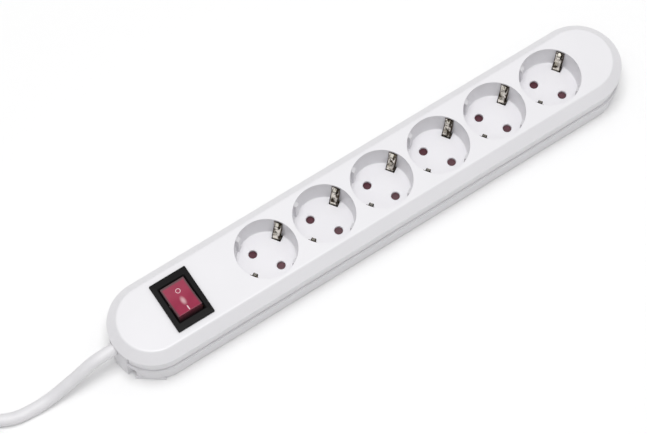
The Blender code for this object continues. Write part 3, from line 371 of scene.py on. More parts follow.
def redPolycarbonate():
    # clear red polycarbonate over a lamp: deep crimson, with painted shade in a smoky tone where its
    # edges turn away, and the lamp's glow painted in as a pale patch in the middle
    look = {"IOR": 1.585, "Specular_IOR_Level": 0.3}
    finish, tree, shader, where = startFinish("red_polycarbonate", **look)
    crimson = mottle(tree, where, shader, ("A33150", "8E2743"), 6 * mm, (0.29, 0.36))
    place = {"Vector": where, "Location": (-switchX, 0, 0)}
    place = addNode(tree, "Mapping", place).outputs["Vector"]
    split = addNode(tree, "SeparateXYZ", {"Vector": place})
    step = {"interpolation_type": "SMOOTHSTEP"}
    edges = []
    for axis in "XY":
        far = addNode(tree, "Math", {0: split.outputs[axis]}, operation="ABSOLUTE").outputs[0]
        start, full = (rocker["half" + axis] - inset for inset in rocker["painted_edge_shade"])
        limits = {"Value": far, "From Min": start, "From Max": full}
        edges.append(addNode(tree, "MapRange", limits, **step).outputs["Result"])
    edge = addNode(tree, "Math", dict(enumerate(edges)), operation="MAXIMUM").outputs[0]
    # painted shade: near the cap's edges the crimson turns to a dark greyish wine tone
    painted_edge_shade = {0: edge, 6: crimson, 7: linear("5E4348")}
    painted_edge_shade = addNode(tree, "Mix", painted_edge_shade, data_type="RGBA").outputs[2]
    # painted light: a pale patch of the lamp's glow is painted into the colour over the lamp
    painted_lamp_glow = {"Vector": place, "Location": (0, 1.0 * mm, 0), "Scale": (1, 0.5, 0)}
    painted_lamp_glow = addNode(tree, "Mapping", painted_lamp_glow).outputs["Vector"]
    near = addNode(tree, "VectorMath", {0: painted_lamp_glow}, operation="LENGTH").outputs["Value"]
    start, end = rocker["painted_lamp_glow"]
    limits = {"Value": near, "From Min": start, "From Max": end, "To Min": 0.7, "To Max": 0.0}
    patch = addNode(tree, "MapRange", limits, **step).outputs["Result"]
    lit = {0: patch, 6: painted_edge_shade, 7: linear("E3BFC2")}
    lit = addNode(tree, "Mix", lit, data_type="RGBA").outputs[2]
    tree.links.new(lit, shader.inputs["Base Color"])
    grain(tree, where, shader, 1.6 * mm, 0.02 * mm)
    return finish


def nickelBronze():
    # spring bronze, nickel plated and stamped: mirror patches, painted as highlights, along the
    # middle of the strip between dark patches painted as dark reflections, and its edges painted
    # dark brown as shade
    finish, tree, shader, where = startFinish("nickel_plated_bronze", Metallic=1.0, Roughness=0.2)
    # painted highlights and painted dark reflections: bright and dark patches at random over the
    # strip
    noise = {"Vector": where, "Scale": 1 / (3.2 * mm), "Detail": 2.0}
    noise = addNode(tree, "TexNoise", noise).outputs["Fac"]
    plate = addNode(tree, "ValToRGB", {"Fac": noise}, ((0.38, "4C443A"), (0.5, "EFEADF")))
    place = addNode(tree, "UVMap", uv_map="map").outputs["UV"]
    off = addNode(tree, "SeparateXYZ", {"Vector": place}).outputs["X"]
    for work, value in (("MULTIPLY", 2.0), ("FRACT", 0.0), ("SUBTRACT", 0.5), ("ABSOLUTE", 0.0)):
        off = addNode(tree, "Math", {0: off, 1: value}, operation=work).outputs[0]
    edge = addNode(tree, "MapRange", {"Value": off, "From Min": 0.1, "From Max": 0.2})
    # painted shade: the strip's edges, across its width, are painted dark brown
    shaded_strip_edges = {0: edge.outputs["Result"], 6: plate.outputs["Color"], 7: linear("3A3027")}
    shaded_strip_edges = addNode(tree, "Mix", shaded_strip_edges, data_type="RGBA").outputs[2]
    tree.links.new(shaded_strip_edges, shader.inputs["Base Color"])
    grain(tree, where, shader, 1.4 * mm, 0.12 * mm)
    return finish


def earthCorePvc():
    # two-colour core insulation: green with yellow stripes that wind along it
    look = {"IOR": 1.53, "Roughness": 0.44}
    finish, tree, shader, where = startFinish("green_yellow_core_pvc", **look)
    stripes = {"Vector": where, "Scale": 90.0, "Distortion": 0.4}
    stripes = addNode(tree, "TexWave", stripes, bands_direction="DIAGONAL").outputs["Fac"]
    ramp = addNode(tree, "ValToRGB", {"Fac": stripes}, ((0.47, "3E8F3A"), (0.53, "E3C93A")))
    tree.links.new(ramp.outputs["Color"], shader.inputs["Base Color"])
    grain(tree, where, shader, 0.8 * mm, 0.02 * mm)
    return finish


def wovenNylon():
    # woven nylon hook-and-loop tape: dark grey, with a rib every 0.8 mm and a fuzzy sheen
    look = {"IOR": 1.53, "Roughness": 0.85, "Sheen_Weight": 0.35, "Sheen_Roughness": 0.5}
    finish, tree, shader, _ = startFinish("grey_nylon_tape", **look)
    place = addNode(tree, "UVMap", uv_map="map").outputs["UV"]
    rib = {"Vector": place, "Scale": 0.314 / (0.8 * mm), "Distortion": 0.6, "Detail Scale": 2.0}
    ribs = [addNode(tree, "TexWave", rib, bands_direction=axis).outputs["Fac"] for axis in "XY"]
    weave = addNode(tree, "Math", dict(enumerate(ribs)), operation="MULTIPLY").outputs[0]
    # painted shade and light: the weave's colour follows its bump height, darker in the hollows and
    # lighter on the crests
    ramp = addNode(tree, "ValToRGB", {"Fac": weave}, ((0.0, "2C2C30"), (1.0, "67676D")))
    tree.links.new(ramp.outputs["Color"], shader.inputs["Base Color"])
    bump = addNode(tree, "Bump", {"Height": weave, "Distance": 0.15 * mm, "Strength": 0.8})
    tree.links.new(bump.outputs["Normal"], shader.inputs["Normal"])
    return finish


def lampGlass():
    # thin clear glass with a warm neon glow inside it
    look = {"Roughness": 0.08, "IOR": 1.47, "Transmission_Weight": 0.7, "Emission_Strength": 0.6}
    finish, tree, shader, where = startFinish("neon_lamp_glass", **look)
    noise = addNode(tree, "TexNoise", {"Vector": where, "Scale": 1 / (2 * mm)}).outputs["Fac"]
    ramp = addNode(tree, "ValToRGB", {"Fac": noise}, ((0.0, "F29A5C"), (1.0, "FFD9B0")))
    for socket in ("Base Color", "Emission Color"):
        tree.links.new(ramp.outputs["Color"], shader.inputs[socket])
    return finish


# each clouded finish: light and dark colour, patch size, least and most roughness, then the
# spacing, depth and detail of its bumps
fineBump = 0.02 * mm
softBump = 0.03 * mm
finishes = {
    "red": redPolycarbonate(),
    "nickel": nickelBronze(),
    "earth": earthCorePvc(),
    "tape": wovenNylon(),
    "glass": lampGlass(),
    # ABS moulded in a polished tool: even, bright and glossy, with a faint orange peel
    "white": cloudedFinish(
        "white_abs_polished", ("ECEBEE", "E7E6E9"), 30 * mm, (0.29, 0.36),
        (2.2 * mm, 0.012 * mm), IOR=1.53,
    ),
    # ABS moulded in a spark-eroded tool, for the lower shell: the same white, a little duller, and
    # painted a little darker as shade
    "lower": cloudedFinish(
        "white_abs_eroded", ("E4E3E6", "DEDDE0"), 22 * mm, (0.38, 0.5),
        (0.9 * mm, softBump, 4.0), IOR=1.53,
    ),
    # glass-filled nylon: black, with a fine sandy grain that breaks up its gloss
    "black": cloudedFinish(
        "black_nylon_grained", ("121112", "0C0B0C"), 4 * mm, (0.34, 0.5),
        (0.7 * mm, softBump, 4.0), IOR=1.53, Specular_IOR_Level=0.12,
    ),
    # hot-stamped pale ink: slightly raised, pinkish white and satin
    "mark": cloudedFinish(
        "pale_stamped_ink", ("F2D5DA", "E6BFC7"), 1.0 * mm, (0.4, 0.55),
        (0.4 * mm, 0.01 * mm), IOR=1.5,
    ),
    # brass strip as rolled and stamped: yellow, with dull patches where it has been handled
    "brass": cloudedFinish(
        "brass_rolled_strip", ("D9BE7C", "A98743"), 8 * mm, (0.29, 0.42),
        (0.5 * mm, fineBump, 2.0, (0.1, 1.0, 1.0)), Metallic=1.0,
    ),
    # steel with bright zinc: cool grey with the faint blue clouds of passivation
    "steel": cloudedFinish(
        "zinc_plated_steel", ("C9CBD0", "9DA2AC"), 2.5 * mm, (0.29, 0.4),
        (0.4 * mm, 0.015 * mm, 3.0), Metallic=1.0,
    ),
    # dyed nylon, moulded: dark wine red and satin
    "maroon": cloudedFinish(
        "maroon_nylon_moulded", ("5C1C2F", "3C131F"), 3 * mm, (0.4, 0.55),
        (0.6 * mm, fineBump, 3.0), IOR=1.53,
    ),
    # soft PVC, extruded: white and satin, with faint specks
    "jacket": cloudedFinish(
        "white_pvc_extruded", ("E9E8EA", "DEDDE0"), 9 * mm, (0.42, 0.56),
        (1.1 * mm, softBump, 4.0), IOR=1.53,
    ),
    # rigid PVC moulded round the lead's end: white, satin, with a little flow haze
    "plug": cloudedFinish(
        "white_pvc_moulded", ("E7E6E8", "DCDBDE"), 12 * mm, (0.34, 0.48),
        (0.9 * mm, softBump, 4.0), IOR=1.53,
    ),
}
# thin PVC core insulation, extruded: coloured through and softly glossy
for core, colours in (("brown", ("6B4630", "573724")), ("blue", ("3F7DC4", "326AAC"))):
    finishes[core] = cloudedFinish(
        f"{core}_core_pvc", colours, 5 * mm, (0.38, 0.5), (0.8 * mm, fineBump), IOR=1.53
    )
print("finishes made:", len(finishes))

well = {
    "radius": 19.6 * mm,
    "draft": 0.6 * mm,
    "depth": 18.0 * mm,
    "cup": 20.9 * mm,
    "under": 20.0 * mm,
    "rim": 0.55 * mm,
    "heel": 1.1 * mm,
    "pinCircle": 9.5 * mm,
    "pinHole": 2.75 * mm,
    "countersink": 0.35 * mm,
    "turn": math.radians(124.7),
    "slot": (14.0 * mm, 18.9 * mm, 6.3 * mm),  # near, far, width
    "rib": (17.8 * mm, 3.6 * mm),  # inner face, width
    "ribTop": (3.2 * mm, 1.1 * mm),  # below the top, where its slope starts and ends
    "steps": 96,
}
upper = {
    "flat": 21.9 * mm,
    "drop": 7.2 * mm,
    "lip": 0.5 * mm,
    "wall": 26.6 * mm,
    "bottom": 18.6 * mm,
    "thick": 2.0 * mm,
    "plate": 2.2 * mm,
    "peg": (1.5 * mm, 15.4 * mm),  # radius, lower end
    "boss": (3.0 * mm, 15.3 * mm),
    "bore": (1.65 * mm, 28.7 * mm),  # radius, upper end
    "window": (10.4 * mm, 13.0 * mm),  # half width, length
    "opening": (11.2 * mm, 15.3 * mm, 20.0 * mm),  # for the switch: half x, half y, depth
}


def wellRib(x, turn):
    # a ridge on the well's wall with round flanks, its top sloping back into the wall
    inner, width = well["rib"]
    slopeStart, slopeEnd = (body["top"] - drop for drop in well["ribTop"])
    floor, outer = body["top"] - well["depth"], well["radius"] + 0.6 * mm
    faces = ((floor - mm, inner), (slopeStart, inner), (slopeEnd, well["radius"] - 0.1 * mm))
    rows = []
    for z, near in faces:
        row = rectangleGrid([((outer - near) / 2, width / 2, 0.25 * mm, z)], 5)[0]
        rows.append(row + [(outer + near) / 2, 0, 0])
    return turnedAbout(gridMesh(np.array(rows), caps=True), turn, place=(x, 0, 0))


def floorHoles(x):
    # two countersunk pin holes on the pin circle, and a slot for each arm of the clip beyond them
    floor, under = body["top"] - well["depth"], body["top"] - well["under"]
    hole, sink = well["pinHole"], well["countersink"]
    profile = [(hole, under - mm), (hole, floor - sink), (hole + sink, floor)]
    profile.append((hole + 2 * sink, floor + sink))
    near, far, width = well["slot"]
    holes = []
    for turn in (well["turn"], well["turn"] + math.pi):
        away = well["pinCircle"]
        place = (x + away * math.cos(turn), away * math.sin(turn), 0)
        holes.append(turned(profile, 40, place=place))
        slot = boxMesh(near, far, -width / 2, width / 2, under - mm, floor + mm, 0.5 * mm)
        holes.append(turnedAbout(slot, turn - math.pi / 2, place=(x, 0, 0)))
    return holes


def upperShell():
    # its section carried round the stadium, with cups and bosses; the bowls cut from it, pegs and
    # ribs set in them, and then the holes, bores, switch opening and entry window cut
    top, half = body["top"], body["half"]
    shoulder = top - upper["drop"]
    under = shoulder - upper["lip"]
    wall, bottom, inner = upper["wall"], upper["bottom"], upper["wall"] - upper["thick"]
    corners = [
        (upper["flat"] - 2 * mm, top),
        (upper["flat"], top),
        (half, shoulder),
        (half, under),
        (wall, under),
        (wall, bottom),
        (inner, bottom),
        (inner, shoulder - mm),
        (upper["flat"] - mm, top - upper["plate"]),
        (upper["flat"] - 3 * mm, top - upper["plate"]),
    ]
    radii = np.array([2.0, 0.7, 0.2, 0.25, 0.35, 0.3, 0.8, 0.8]) * mm
    section = roundedLine(corners, radii)
    shell = gridMesh(stadiumGrid(section, body["middle"], body["arc"]), caps=True)
    cup = [(well["cup"], top - well["under"]), (well["cup"], top - mm)]
    added = [turned(cup, 72, place=(x, 0, 0)) for x in wellCentres]
    bossRadius, bossLow = upper["boss"]
    boss = [(bossRadius - 0.8 * mm, bossLow), (bossRadius, bossLow), (bossRadius, top - mm)]
    boss = roundedLine(boss, [0.3 * mm], 3)
    added += [turned(boss, 24, place=(x, y, 0)) for x, y in screwCentres]
    shell = combine(shell, added, "UNION")
    floor, foot = top - well["depth"], well["radius"] - well["draft"]
    rim, rimRadius = well["rim"], well["radius"] + well["rim"]
    bowl = [(foot - 3 * mm, floor), (foot, floor), (well["radius"], top)]
    bowl += [(rimRadius, top + 0.6 * rim), (rimRadius, top + 3 * mm)]
    bowl = roundedLine(bowl, [well["heel"], 1.6 * rim, 0], 8)
    bowls = [turned(bowl, well["steps"], place=(x, 0, 0)) for x in wellCentres]
    shell = combine(shell, bowls, "DIFFERENCE")
    pegRadius, pegLow = upper["peg"]
    peg = [(pegRadius, pegLow), (pegRadius, top - well["under"] + mm)]
    added = [turned(peg, 24, place=(x, 0, 0)) for x in wellCentres]
    added += [wellRib(x, well["turn"] + k * math.pi) for x in wellCentres for k in (0, 1)]
    shell = combine(shell, added, "UNION")
    cuts = [hole for x in wellCentres for hole in floorHoles(x)]
    boreRadius, boreTop = upper["bore"]
    bore = [(boreRadius, bossLow - mm), (boreRadius, boreTop)]
    cuts += [turned(bore, 24, place=(x, y, 0)) for x, y in screwCentres]
    openX, openY, deep = upper["opening"]
    opening = (switchX - openX, switchX + openX, -openY, openY, top - deep, top + mm)
    cuts.append(boxMesh(*opening, 0.5 * mm))
    windowHalf, windowLength = upper["window"]
    near = -body["end"]
    window = (near - mm, near + windowLength, -windowHalf, windowHalf, bottom - mm, under)
    cuts.append(boxMesh(*window))
    shell = combine(shell, cuts, "DIFFERENCE")
    addPiece("upper_shell", shell, "housing", "white", ["top_shell"])


upperShell()
print("upper shell made")


lower = {
    "foot": 25.9 * mm,
    "rim": 27.9 * mm,
    "height": 18.3 * mm,
    "thick": 2.0 * mm,
    "floor": 1.2 * mm,
    "entryHalf": 10.1 * mm,
    "entryTop": 30.5 * mm,
    "entryLength": 13.0 * mm,
    "saddleLength": 6.0 * mm,
    "saddleHalf": 12.0 * mm,
    "saddleDrop": 4.3 * mm,  # below the lead's centre line
    "flange": (3.5 * mm, 14.9 * mm, 19.5 * mm),  # top, half width, how far back
    "notch": (4.6 * mm, 7.5 * mm, 13.0 * mm),  # width, depth, top
    "cordCentre": 25.8 * mm,
    "cordBore": 4.35 * mm,
    "tower": (4.2 * mm, 15.0 * mm),  # radius, top
    "counterbore": (3.1 * mm, 4.0 * mm),
    "bore": 1.65 * mm,
    "rest": (0.8 * mm, 13.4 * mm, 3.2 * mm),  # half thickness, half width, top
    "clampScrew": (8.6 * mm, 17.0 * mm),  # off the middle, lower end
}


def endArc(radius, reach, steps=24):
    # the near end's arc, from +Y round to -Y, within y = reach
    angle = math.asin(reach / radius)
    return arcPoints(radius, math.pi - angle, math.pi + angle, steps, -body["middle"]).tolist()


def lowerShell():
    # its section carried round the stadium, then the flange, the cheeks of the notches, the entry
    # block, saddle, screw towers and bar rests added, and all bores, notches and the groove cut
    foot, rim, height, thick = lower["foot"], lower["rim"], lower["height"], lower["thick"]
    corners = [
        (foot - 3 * mm, 0),
        (foot, 0),
        (rim, height - 0.5 * mm),
        (rim - 0.5 * mm, height),
        (rim - thick - mm, height),
        (foot - thick, lower["floor"]),
        (foot - thick - 3 * mm, lower["floor"]),
    ]
    radii = np.array([0.7, 0.25, 0.2, 0.2, 0.8]) * mm
    section = roundedLine(corners, radii)
    shell = gridMesh(stadiumGrid(section, body["middle"], body["arc"]), caps=True)
    near, entryHalf = -body["end"], lower["entryHalf"]
    entryEnd = near + lower["entryLength"]
    saddleEnd = entryEnd + lower["saddleLength"]
    flangeTop, flangeHalf, flangeBack = lower["flange"]
    back, inner, corner = near + flangeBack, saddleEnd + 0.5 * mm, foot - 0.05 * mm
    outline = endArc(body["half"], flangeHalf)
    outline += [(back, -corner), (inner, mm - corner), (inner, corner - mm), (back, corner)]
    shell = combine(shell, [prismMesh(outline, 0, flangeTop, 0.25 * mm)], "UNION")
    notchWidth, notchDepth, notchTop = lower["notch"]
    cheek = notchWidth + entryHalf + 2 * mm
    outline = endArc(rim - thick / 2, cheek) + [(entryEnd, -cheek), (entryEnd, cheek)]
    shell = combine(shell, [prismMesh(outline, mm, notchTop + 2 * mm, 0.2 * mm)], "UNION")
    outline = endArc(body["half"], entryHalf, 16)
    outline += [(entryEnd, -entryHalf), (entryEnd, entryHalf)]
    entry = prismMesh(outline, 0.5 * mm, lower["entryTop"], 0.25 * mm)
    shell = combine(shell, [entry], "UNION")
    saddleHalf, saddleTop = lower["saddleHalf"], lower["cordCentre"] - lower["saddleDrop"]
    saddle = (entryEnd - mm, saddleEnd, -saddleHalf, saddleHalf, mm, saddleTop)
    added = [boxMesh(*saddle, 0.3 * mm)]
    towerRadius, towerTop = lower["tower"]
    tower = [(towerRadius, 0.5 * mm), (towerRadius, towerTop), (towerRadius - 0.8 * mm, towerTop)]
    tower = roundedLine(tower, [0.3 * mm], 3)
    added += [turned(tower, 32, place=(x, y, 0)) for x, y in screwCentres]
    restHalf, reach, restTop = lower["rest"]
    for left, right in zip(wellCentres, wellCentres[1:]):
        middle = (left + right) / 2
        rest = (middle - restHalf, middle + restHalf, -reach, reach, 0.6 * mm, restTop)
        added.append(boxMesh(*rest))
    shell = combine(shell, added, "UNION")
    head, headTop = lower["counterbore"]
    bore = [(head + 0.2 * mm, -mm), (head + 0.2 * mm, 0), (head, 0.2 * mm), (head, headTop)]
    bore += [(lower["bore"], headTop), (lower["bore"], towerTop + mm)]
    cuts = [turned(bore, 32, place=(x, y, 0)) for x, y in screwCentres]
    clampY, clampLow = lower["clampScrew"]
    hole = [(lower["bore"], clampLow - 3 * mm), (lower["bore"], saddleTop + mm)]
    for side in (-1, 1):
        cuts.append(turned(hole, 24, place=((entryEnd + saddleEnd) / 2, side * clampY, 0)))
        low, high = sorted((side * entryHalf, side * (entryHalf + notchWidth)))
        cuts.append(boxMesh(near - mm, near + notchDepth, low, high, -mm, notchTop, 0.4 * mm))
    channel = arcPoints(lower["cordBore"], math.pi, 2 * math.pi, 24).tolist()
    channel += [(lower["cordBore"], 20 * mm), (-lower["cordBore"], 20 * mm)]
    groove = prismMesh(channel, 0, lower["entryLength"] + 2 * mm)
    start, level = near - mm, lower["cordCentre"]
    groove.transform(Matrix(((0, 0, 1, start), (1, 0, 0, 0), (0, 1, 0, level), (0, 0, 0, 1))))
    cuts.append(tidied(groove))
    shell = combine(shell, cuts, "DIFFERENCE")
    addPiece("lower_shell", shell, "housing", "lower", ["bottom_shell"])


lowerShell()
print("lower shell made")


screw = {
    "head": 2.8 * mm,
    "headHeight": 2.2 * mm,
    "shank": 1.35 * mm,
    "core": 1.1 * mm,
    "neck": 2.4 * mm,
    "length": 24.0 * mm,
    "level": 1.5 * mm,
    "pitch": 1.2 * mm,
    "cross": (1.7 * mm, 0.35 * mm, 1.1 * mm),  # half length, half width, depth
    "turn": 0.7,  # from one screw's cross to the next one's
}


def shellScrew(number, centre):
    # a profile turned about the screw's axis: pan head, plain neck and a saw-tooth thread, with a
    # cross cut in the head that stands at another angle on each screw
    head, high, shank = screw["head"], screw["headHeight"], screw["shank"]
    tip, pitch = high + screw["length"], screw["pitch"]
    turns = np.arange(high + 3 * mm, tip - 2.4 * mm, pitch)
    thread = [edge for z in turns for edge in ((screw["core"], z), (shank, z + pitch / 2))]
    neck = (shank, high + screw["neck"])
    corners = [(0.9 * mm, 0), (head, 0), (head, high), (shank, high), neck]
    profile = roundedLine(corners, [0.5 * mm, 0.3 * mm, 0.2 * mm], 5).tolist() + thread
    profile += [(screw["core"], tip - 1.6 * mm), (0.2 * mm, tip)]
    mesh = turned(profile, 32)
    arm, half, deep = screw["cross"]
    for turn in (0.0, math.pi / 2):
        slot = turnedAbout(boxMesh(-arm, arm, -half, half, -mm, deep, 0.1 * mm), turn)
        mesh = combine(mesh, [slot], "DIFFERENCE")
    turnedAbout(mesh, screw["turn"] * number, place=(*centre, screw["level"]))
    replaced = [f"housing_screw_{number}"]
    addPiece(f"shell_screw_{number}", mesh, "housing", "steel", replaced)


for number, centre in enumerate(screwCentres, 1):
    shellScrew(number, centre)
print("screws made")


clip = {
    "width": 5.7 * mm,
    "tongue": 2.8 * mm,
    "thick": 0.5 * mm,
    "low": 14.2 * mm,
    "bead": 0.28 * mm,
    "ribs": 0.12 * mm,
    "ribPitch": 1.3 * mm,
}
shutter = {
    "hub": 4.0 * mm,
    "reach": 13.0 * mm,
    "bore": 1.8 * mm,
    "half": math.radians(20),  # half of a blade's angle
    "edge": 60,  # how steeply a blade leaves the hub
    "low": 16.6 * mm,
    "high": 18.2 * mm,
    "ramp": 0.45 * mm,
}


def earthClip(number, x):
    # spring strip bent into a wide U: each arm starts under the rim, runs down the wall, bows in to
    # a crease and drops through the slot as a ribbed foot; a narrow tongue bulges from its top half
    top, floor, low = body["top"], body["top"] - well["depth"], clip["low"]
    arm = [
        (19.0 * mm, top - 1.2 * mm),
        (18.5 * mm, floor + 10 * mm),
        (16.9 * mm, floor + 6.4 * mm),
        (14.9 * mm, floor + 3.2 * mm),
        (14.7 * mm, floor - mm),
        (15.2 * mm, low),
    ]
    radii = np.array([3, 1.5, 2, 1.5, 2.4, 2.4, 1.5, 2, 1.5, 3]) * mm
    path = arm + [(-u, z) for u, z in reversed(arm)]
    path = evenSteps(roundedLine(path, radii, 7), 0.5 * mm)
    foot = np.clip((floor + 3.4 * mm - path[:, 1]) / mm, 0, 1)[:, None]

    def relief(across):
        # a bead down the middle of the arm, and ribs across its foot
        bead = clip["bead"] * np.exp(-((across / 0.45) ** 2)) * (1 - foot)
        ribs = clip["ribs"] * np.cos(math.pi * clip["width"] / clip["ribPitch"] * across) * foot
        return bead + ribs

    arms = stripGrid(path, clip["width"], clip["thick"], relief=relief)
    strips = [gridMesh(arms, caps=True)]
    tongue = [
        (18.7 * mm, top - 1.3 * mm),
        (16.2 * mm, top - 2.6 * mm),
        (16.3 * mm, top - 5.0 * mm),
        (18.4 * mm, top - 8.2 * mm),
    ]
    for side in (-1, 1):
        bulge = roundedLine([(side * u, z) for u, z in tongue], [1.5 * mm, 2.5 * mm], 8)
        bulge = stripGrid(evenSteps(bulge, 0.4 * mm), clip["tongue"], clip["thick"])
        strips.append(gridMesh(bulge, caps=True))
    mesh = turnedAbout(joined(strips), well["turn"] - math.pi / 2, place=(x, 0, 0))
    replaced = [f"earth_clip_{number}"]
    addPiece(f"earth_spring_{number}", mesh, "housing", "nickel", replaced)


def shutterDisc(number, x):
    # a hub with two blades, as rings of radius r(a) on a smooth step between hub and blade; each
    # blade's top is a ramp that falls away to one side
    angle = np.linspace(0, 2 * math.pi, 96, endpoint=False)
    signed = (angle + math.pi / 2) % math.pi - math.pi / 2
    blade = 1 / (1 + np.exp((np.abs(signed) - shutter["half"]) * shutter["edge"]))
    outer = shutter["hub"] + (shutter["reach"] - shutter["hub"]) * blade
    share = np.array([0, 0.03, 0.35, 0.7, 0.97, 1, 1, 0.97, 0.7, 0.35, 0.03, 0])[:, None]
    upperSide = np.array([0, 0, 0, 0, 0, 0.12, 0.88, 1, 1, 1, 1, 1])[:, None]
    radius = shutter["bore"] + (outer - shutter["bore"]) * share
    ramp = shutter["ramp"] * np.clip(0.5 - signed / (2 * shutter["half"]), 0, 1)
    ramp = ramp * blade * np.clip((share - 0.3) * 2, 0, 1)
    height = shutter["low"] + (shutter["high"] - shutter["low"] - ramp) * upperSide
    points = np.stack([radius * np.cos(angle), radius * np.sin(angle), height], axis=-1)
    mesh = turnedAbout(gridMesh(points, wrapRows=True), well["turn"], place=(x, 0, 0))
    rides = f"shutter_{number}"
    addPiece(f"pin_shutter_{number}", mesh, rides, "maroon", [rides])


for number, x in enumerate(wellCentres, 1):
    earthClip(number, x)
    shutterDisc(number, x)
print("well pieces made")


switch = {
    "bezel": (12.8 * mm, 17.5 * mm, 1.8 * mm),  # half x, half y, height
    "body": (10.9 * mm, 15.0 * mm),
    "depth": 24.0 * mm,
    "floor": 2.0 * mm,
    "opening": (8.8 * mm, 12.3 * mm),
    "pivot": (37.4 * mm, 1.5 * mm, 9.9 * mm),  # height, radius, half length
    "bearing": 0.3 * mm,  # room round the pivot
    "terminal": (2.8 * mm, 0.7 * mm),  # half sizes of each slot for a terminal
    "poles": 4.5 * mm,  # each pole off the middle
    "tilt": math.radians(9),
}


def switchFrame():
    # one profile carried round: inner floor, opening, framed face, flange and outer body
    halfX, halfY, high = switch["bezel"]
    openX, openY = switch["opening"]
    bodyX, bodyY = switch["body"]
    low = body["top"] - switch["depth"]
    face = body["top"] + 0.3 * mm
    corners = [
        (openX - 2 * mm, openY - 2 * mm, low + switch["floor"]),
        (openX, openY, low + switch["floor"]),
        (openX, openY, face + 0.9 * mm),
        (openX + 0.9 * mm, openY + 0.9 * mm, face + high - 0.1 * mm),
        (halfX, halfY, face + high - 0.25 * mm),
        (halfX, halfY, face),
        (bodyX, bodyY, face),
        (bodyX, bodyY, low),
        (bodyX - 3 * mm, bodyY - 3 * mm, low),
    ]
    profile = roundedLine(corners, np.array([0.3, 0.4, 0.4, 0.7, 0.15, 0.2, 0.5]) * mm, 5)
    radius = np.full((len(profile), 1), 0.6 * mm)
    section = np.hstack([profile[:, :2], radius, profile[:, 2:]])
    mesh = gridMesh(rectangleGrid(section, 6), caps=True)
    pivotZ, pivotRadius, reach = switch["pivot"]
    wide, long = pivotRadius + switch["bearing"], reach + switch["bearing"]
    bearing = turned([(wide, -long), (wide, long)], 32, math.pi / 2, "Y", (0, 0, pivotZ))
    mesh = combine(mesh, [bearing], "DIFFERENCE")
    halfX, halfY = switch["terminal"]
    slots = []
    for x in (-switch["poles"], switch["poles"]):
        for y in (0, 7 * mm):
            slot = (x - halfX, x + halfX, y - halfY, y + halfY)
            slots.append(boxMesh(*slot, low - mm, low + switch["floor"] + mm))
    mesh = combine(mesh, slots, "DIFFERENCE")
    turnedAbout(mesh, place=(switchX, 0, 0))
    addPiece("switch_frame", mesh, "housing", "black", ["switch_housing"])


def toRest(mesh):
    # from the rocker's own place, level about its pivot, to its place at rest
    turnedAbout(mesh, -switch["tilt"], "X", (switchX, 0, switch["pivot"][0]))
    return mesh


def rockerCap():
    # a shallow V of two faces with a soft valley, its section carried along X, with rounded edges
    halfY, crown, slope = rocker["halfY"], rocker["crown"], math.tan(switch["tilt"])
    across = np.linspace(-1, 1, 41) * (halfY - 0.1 * mm)
    valley = crown + slope * (np.sqrt(across**2 + rocker["valley"] ** 2) - rocker["valley"])
    skirt, under, foot = halfY - 1.0 * mm, -2.5 * mm, -4.8 * mm
    lowSide = [
        (skirt, foot),
        (skirt - mm, foot),
        (skirt - 1.6 * mm, under),
        (rocker["stem"], under),
        (rocker["stem"], -rocker["stemDrop"]),
    ]
    mirrored = [(-y, z) for y, z in reversed(lowSide)]
    outline = np.vstack([np.stack([across, valley], axis=1), lowSide, mirrored])
    points = np.empty((2, len(outline), 3))
    points[..., 0] = np.array([[-1], [1]]) * rocker["halfX"]
    points[..., 1:] = outline
    mesh = bevelled(gridMesh(points, caps=True), 0.45 * mm, 4, 50)
    pivotRadius, reach = switch["pivot"][1:]
    shaft = [(0.6 * mm, -reach), (pivotRadius, -reach), (pivotRadius, reach), (0.6 * mm, reach)]
    shaft = turned(roundedLine(shaft, [0.2 * mm] * 2, 3), 32, math.pi / 2, "Y")
    mesh = combine(mesh, [shaft], "UNION")
    lampPocket = (-5.1 * mm, 5.1 * mm, -9.3 * mm, -4.7 * mm, -4 * mm, 2 * mm)
    cuts = [boxMesh(*lampPocket, 0.3 * mm)]
    plunger = [(1.5 * mm, -7 * mm), (1.5 * mm, -mm)]
    cuts += [turned(plunger, 24, place=(x, 0, 0)) for x in (-switch["poles"], switch["poles"])]
    mesh = toRest(combine(mesh, cuts, "DIFFERENCE"))
    addPiece("rocker_cap", mesh, "rocker", "red", ["rocker"])


marks = {
    "ring": (1.25 * mm, 1.6 * mm),  # inner and outer radius
    "bar": (0.36 * mm, 1.8 * mm, 0.3 * mm),  # half width, half length, corner
    "root": -0.2 * mm,
    "rise": 0.06 * mm,
    "places": (4.8 * mm, -8.9 * mm),  # along Y, of the ring and the bar
}


def rockerMarks():
    # a ring on the off side and a bar on the on side, raised a hair above each face
    slope, valley, root, rise = switch["tilt"], rocker["valley"], marks["root"], marks["rise"]
    inner, outer = marks["ring"]
    ring = [(inner, root), (inner, rise), (outer, rise), (outer, root)]
    ring = roundedLine(ring, [0.05 * mm] * 2, 3)
    ring = turned(ring, 48, place=(0.7 * mm, 0, 0), ring=True)
    bar = gridMesh(rectangleGrid([(*marks["bar"], z) for z in (root, rise)], 6), caps=True)
    for name, mark, y in zip(("off_mark", "on_mark"), (ring, bar), marks["places"]):
        level = rocker["crown"] + math.tan(slope) * (math.hypot(y, valley) - valley)
        turnedAbout(mark, slope * y / math.hypot(y, valley), "X", (0, y, level))
        addPiece(name, toRest(mark), "rocker", "mark")


switchFrame()
rockerCap()
rockerMarks()
print("switch made")


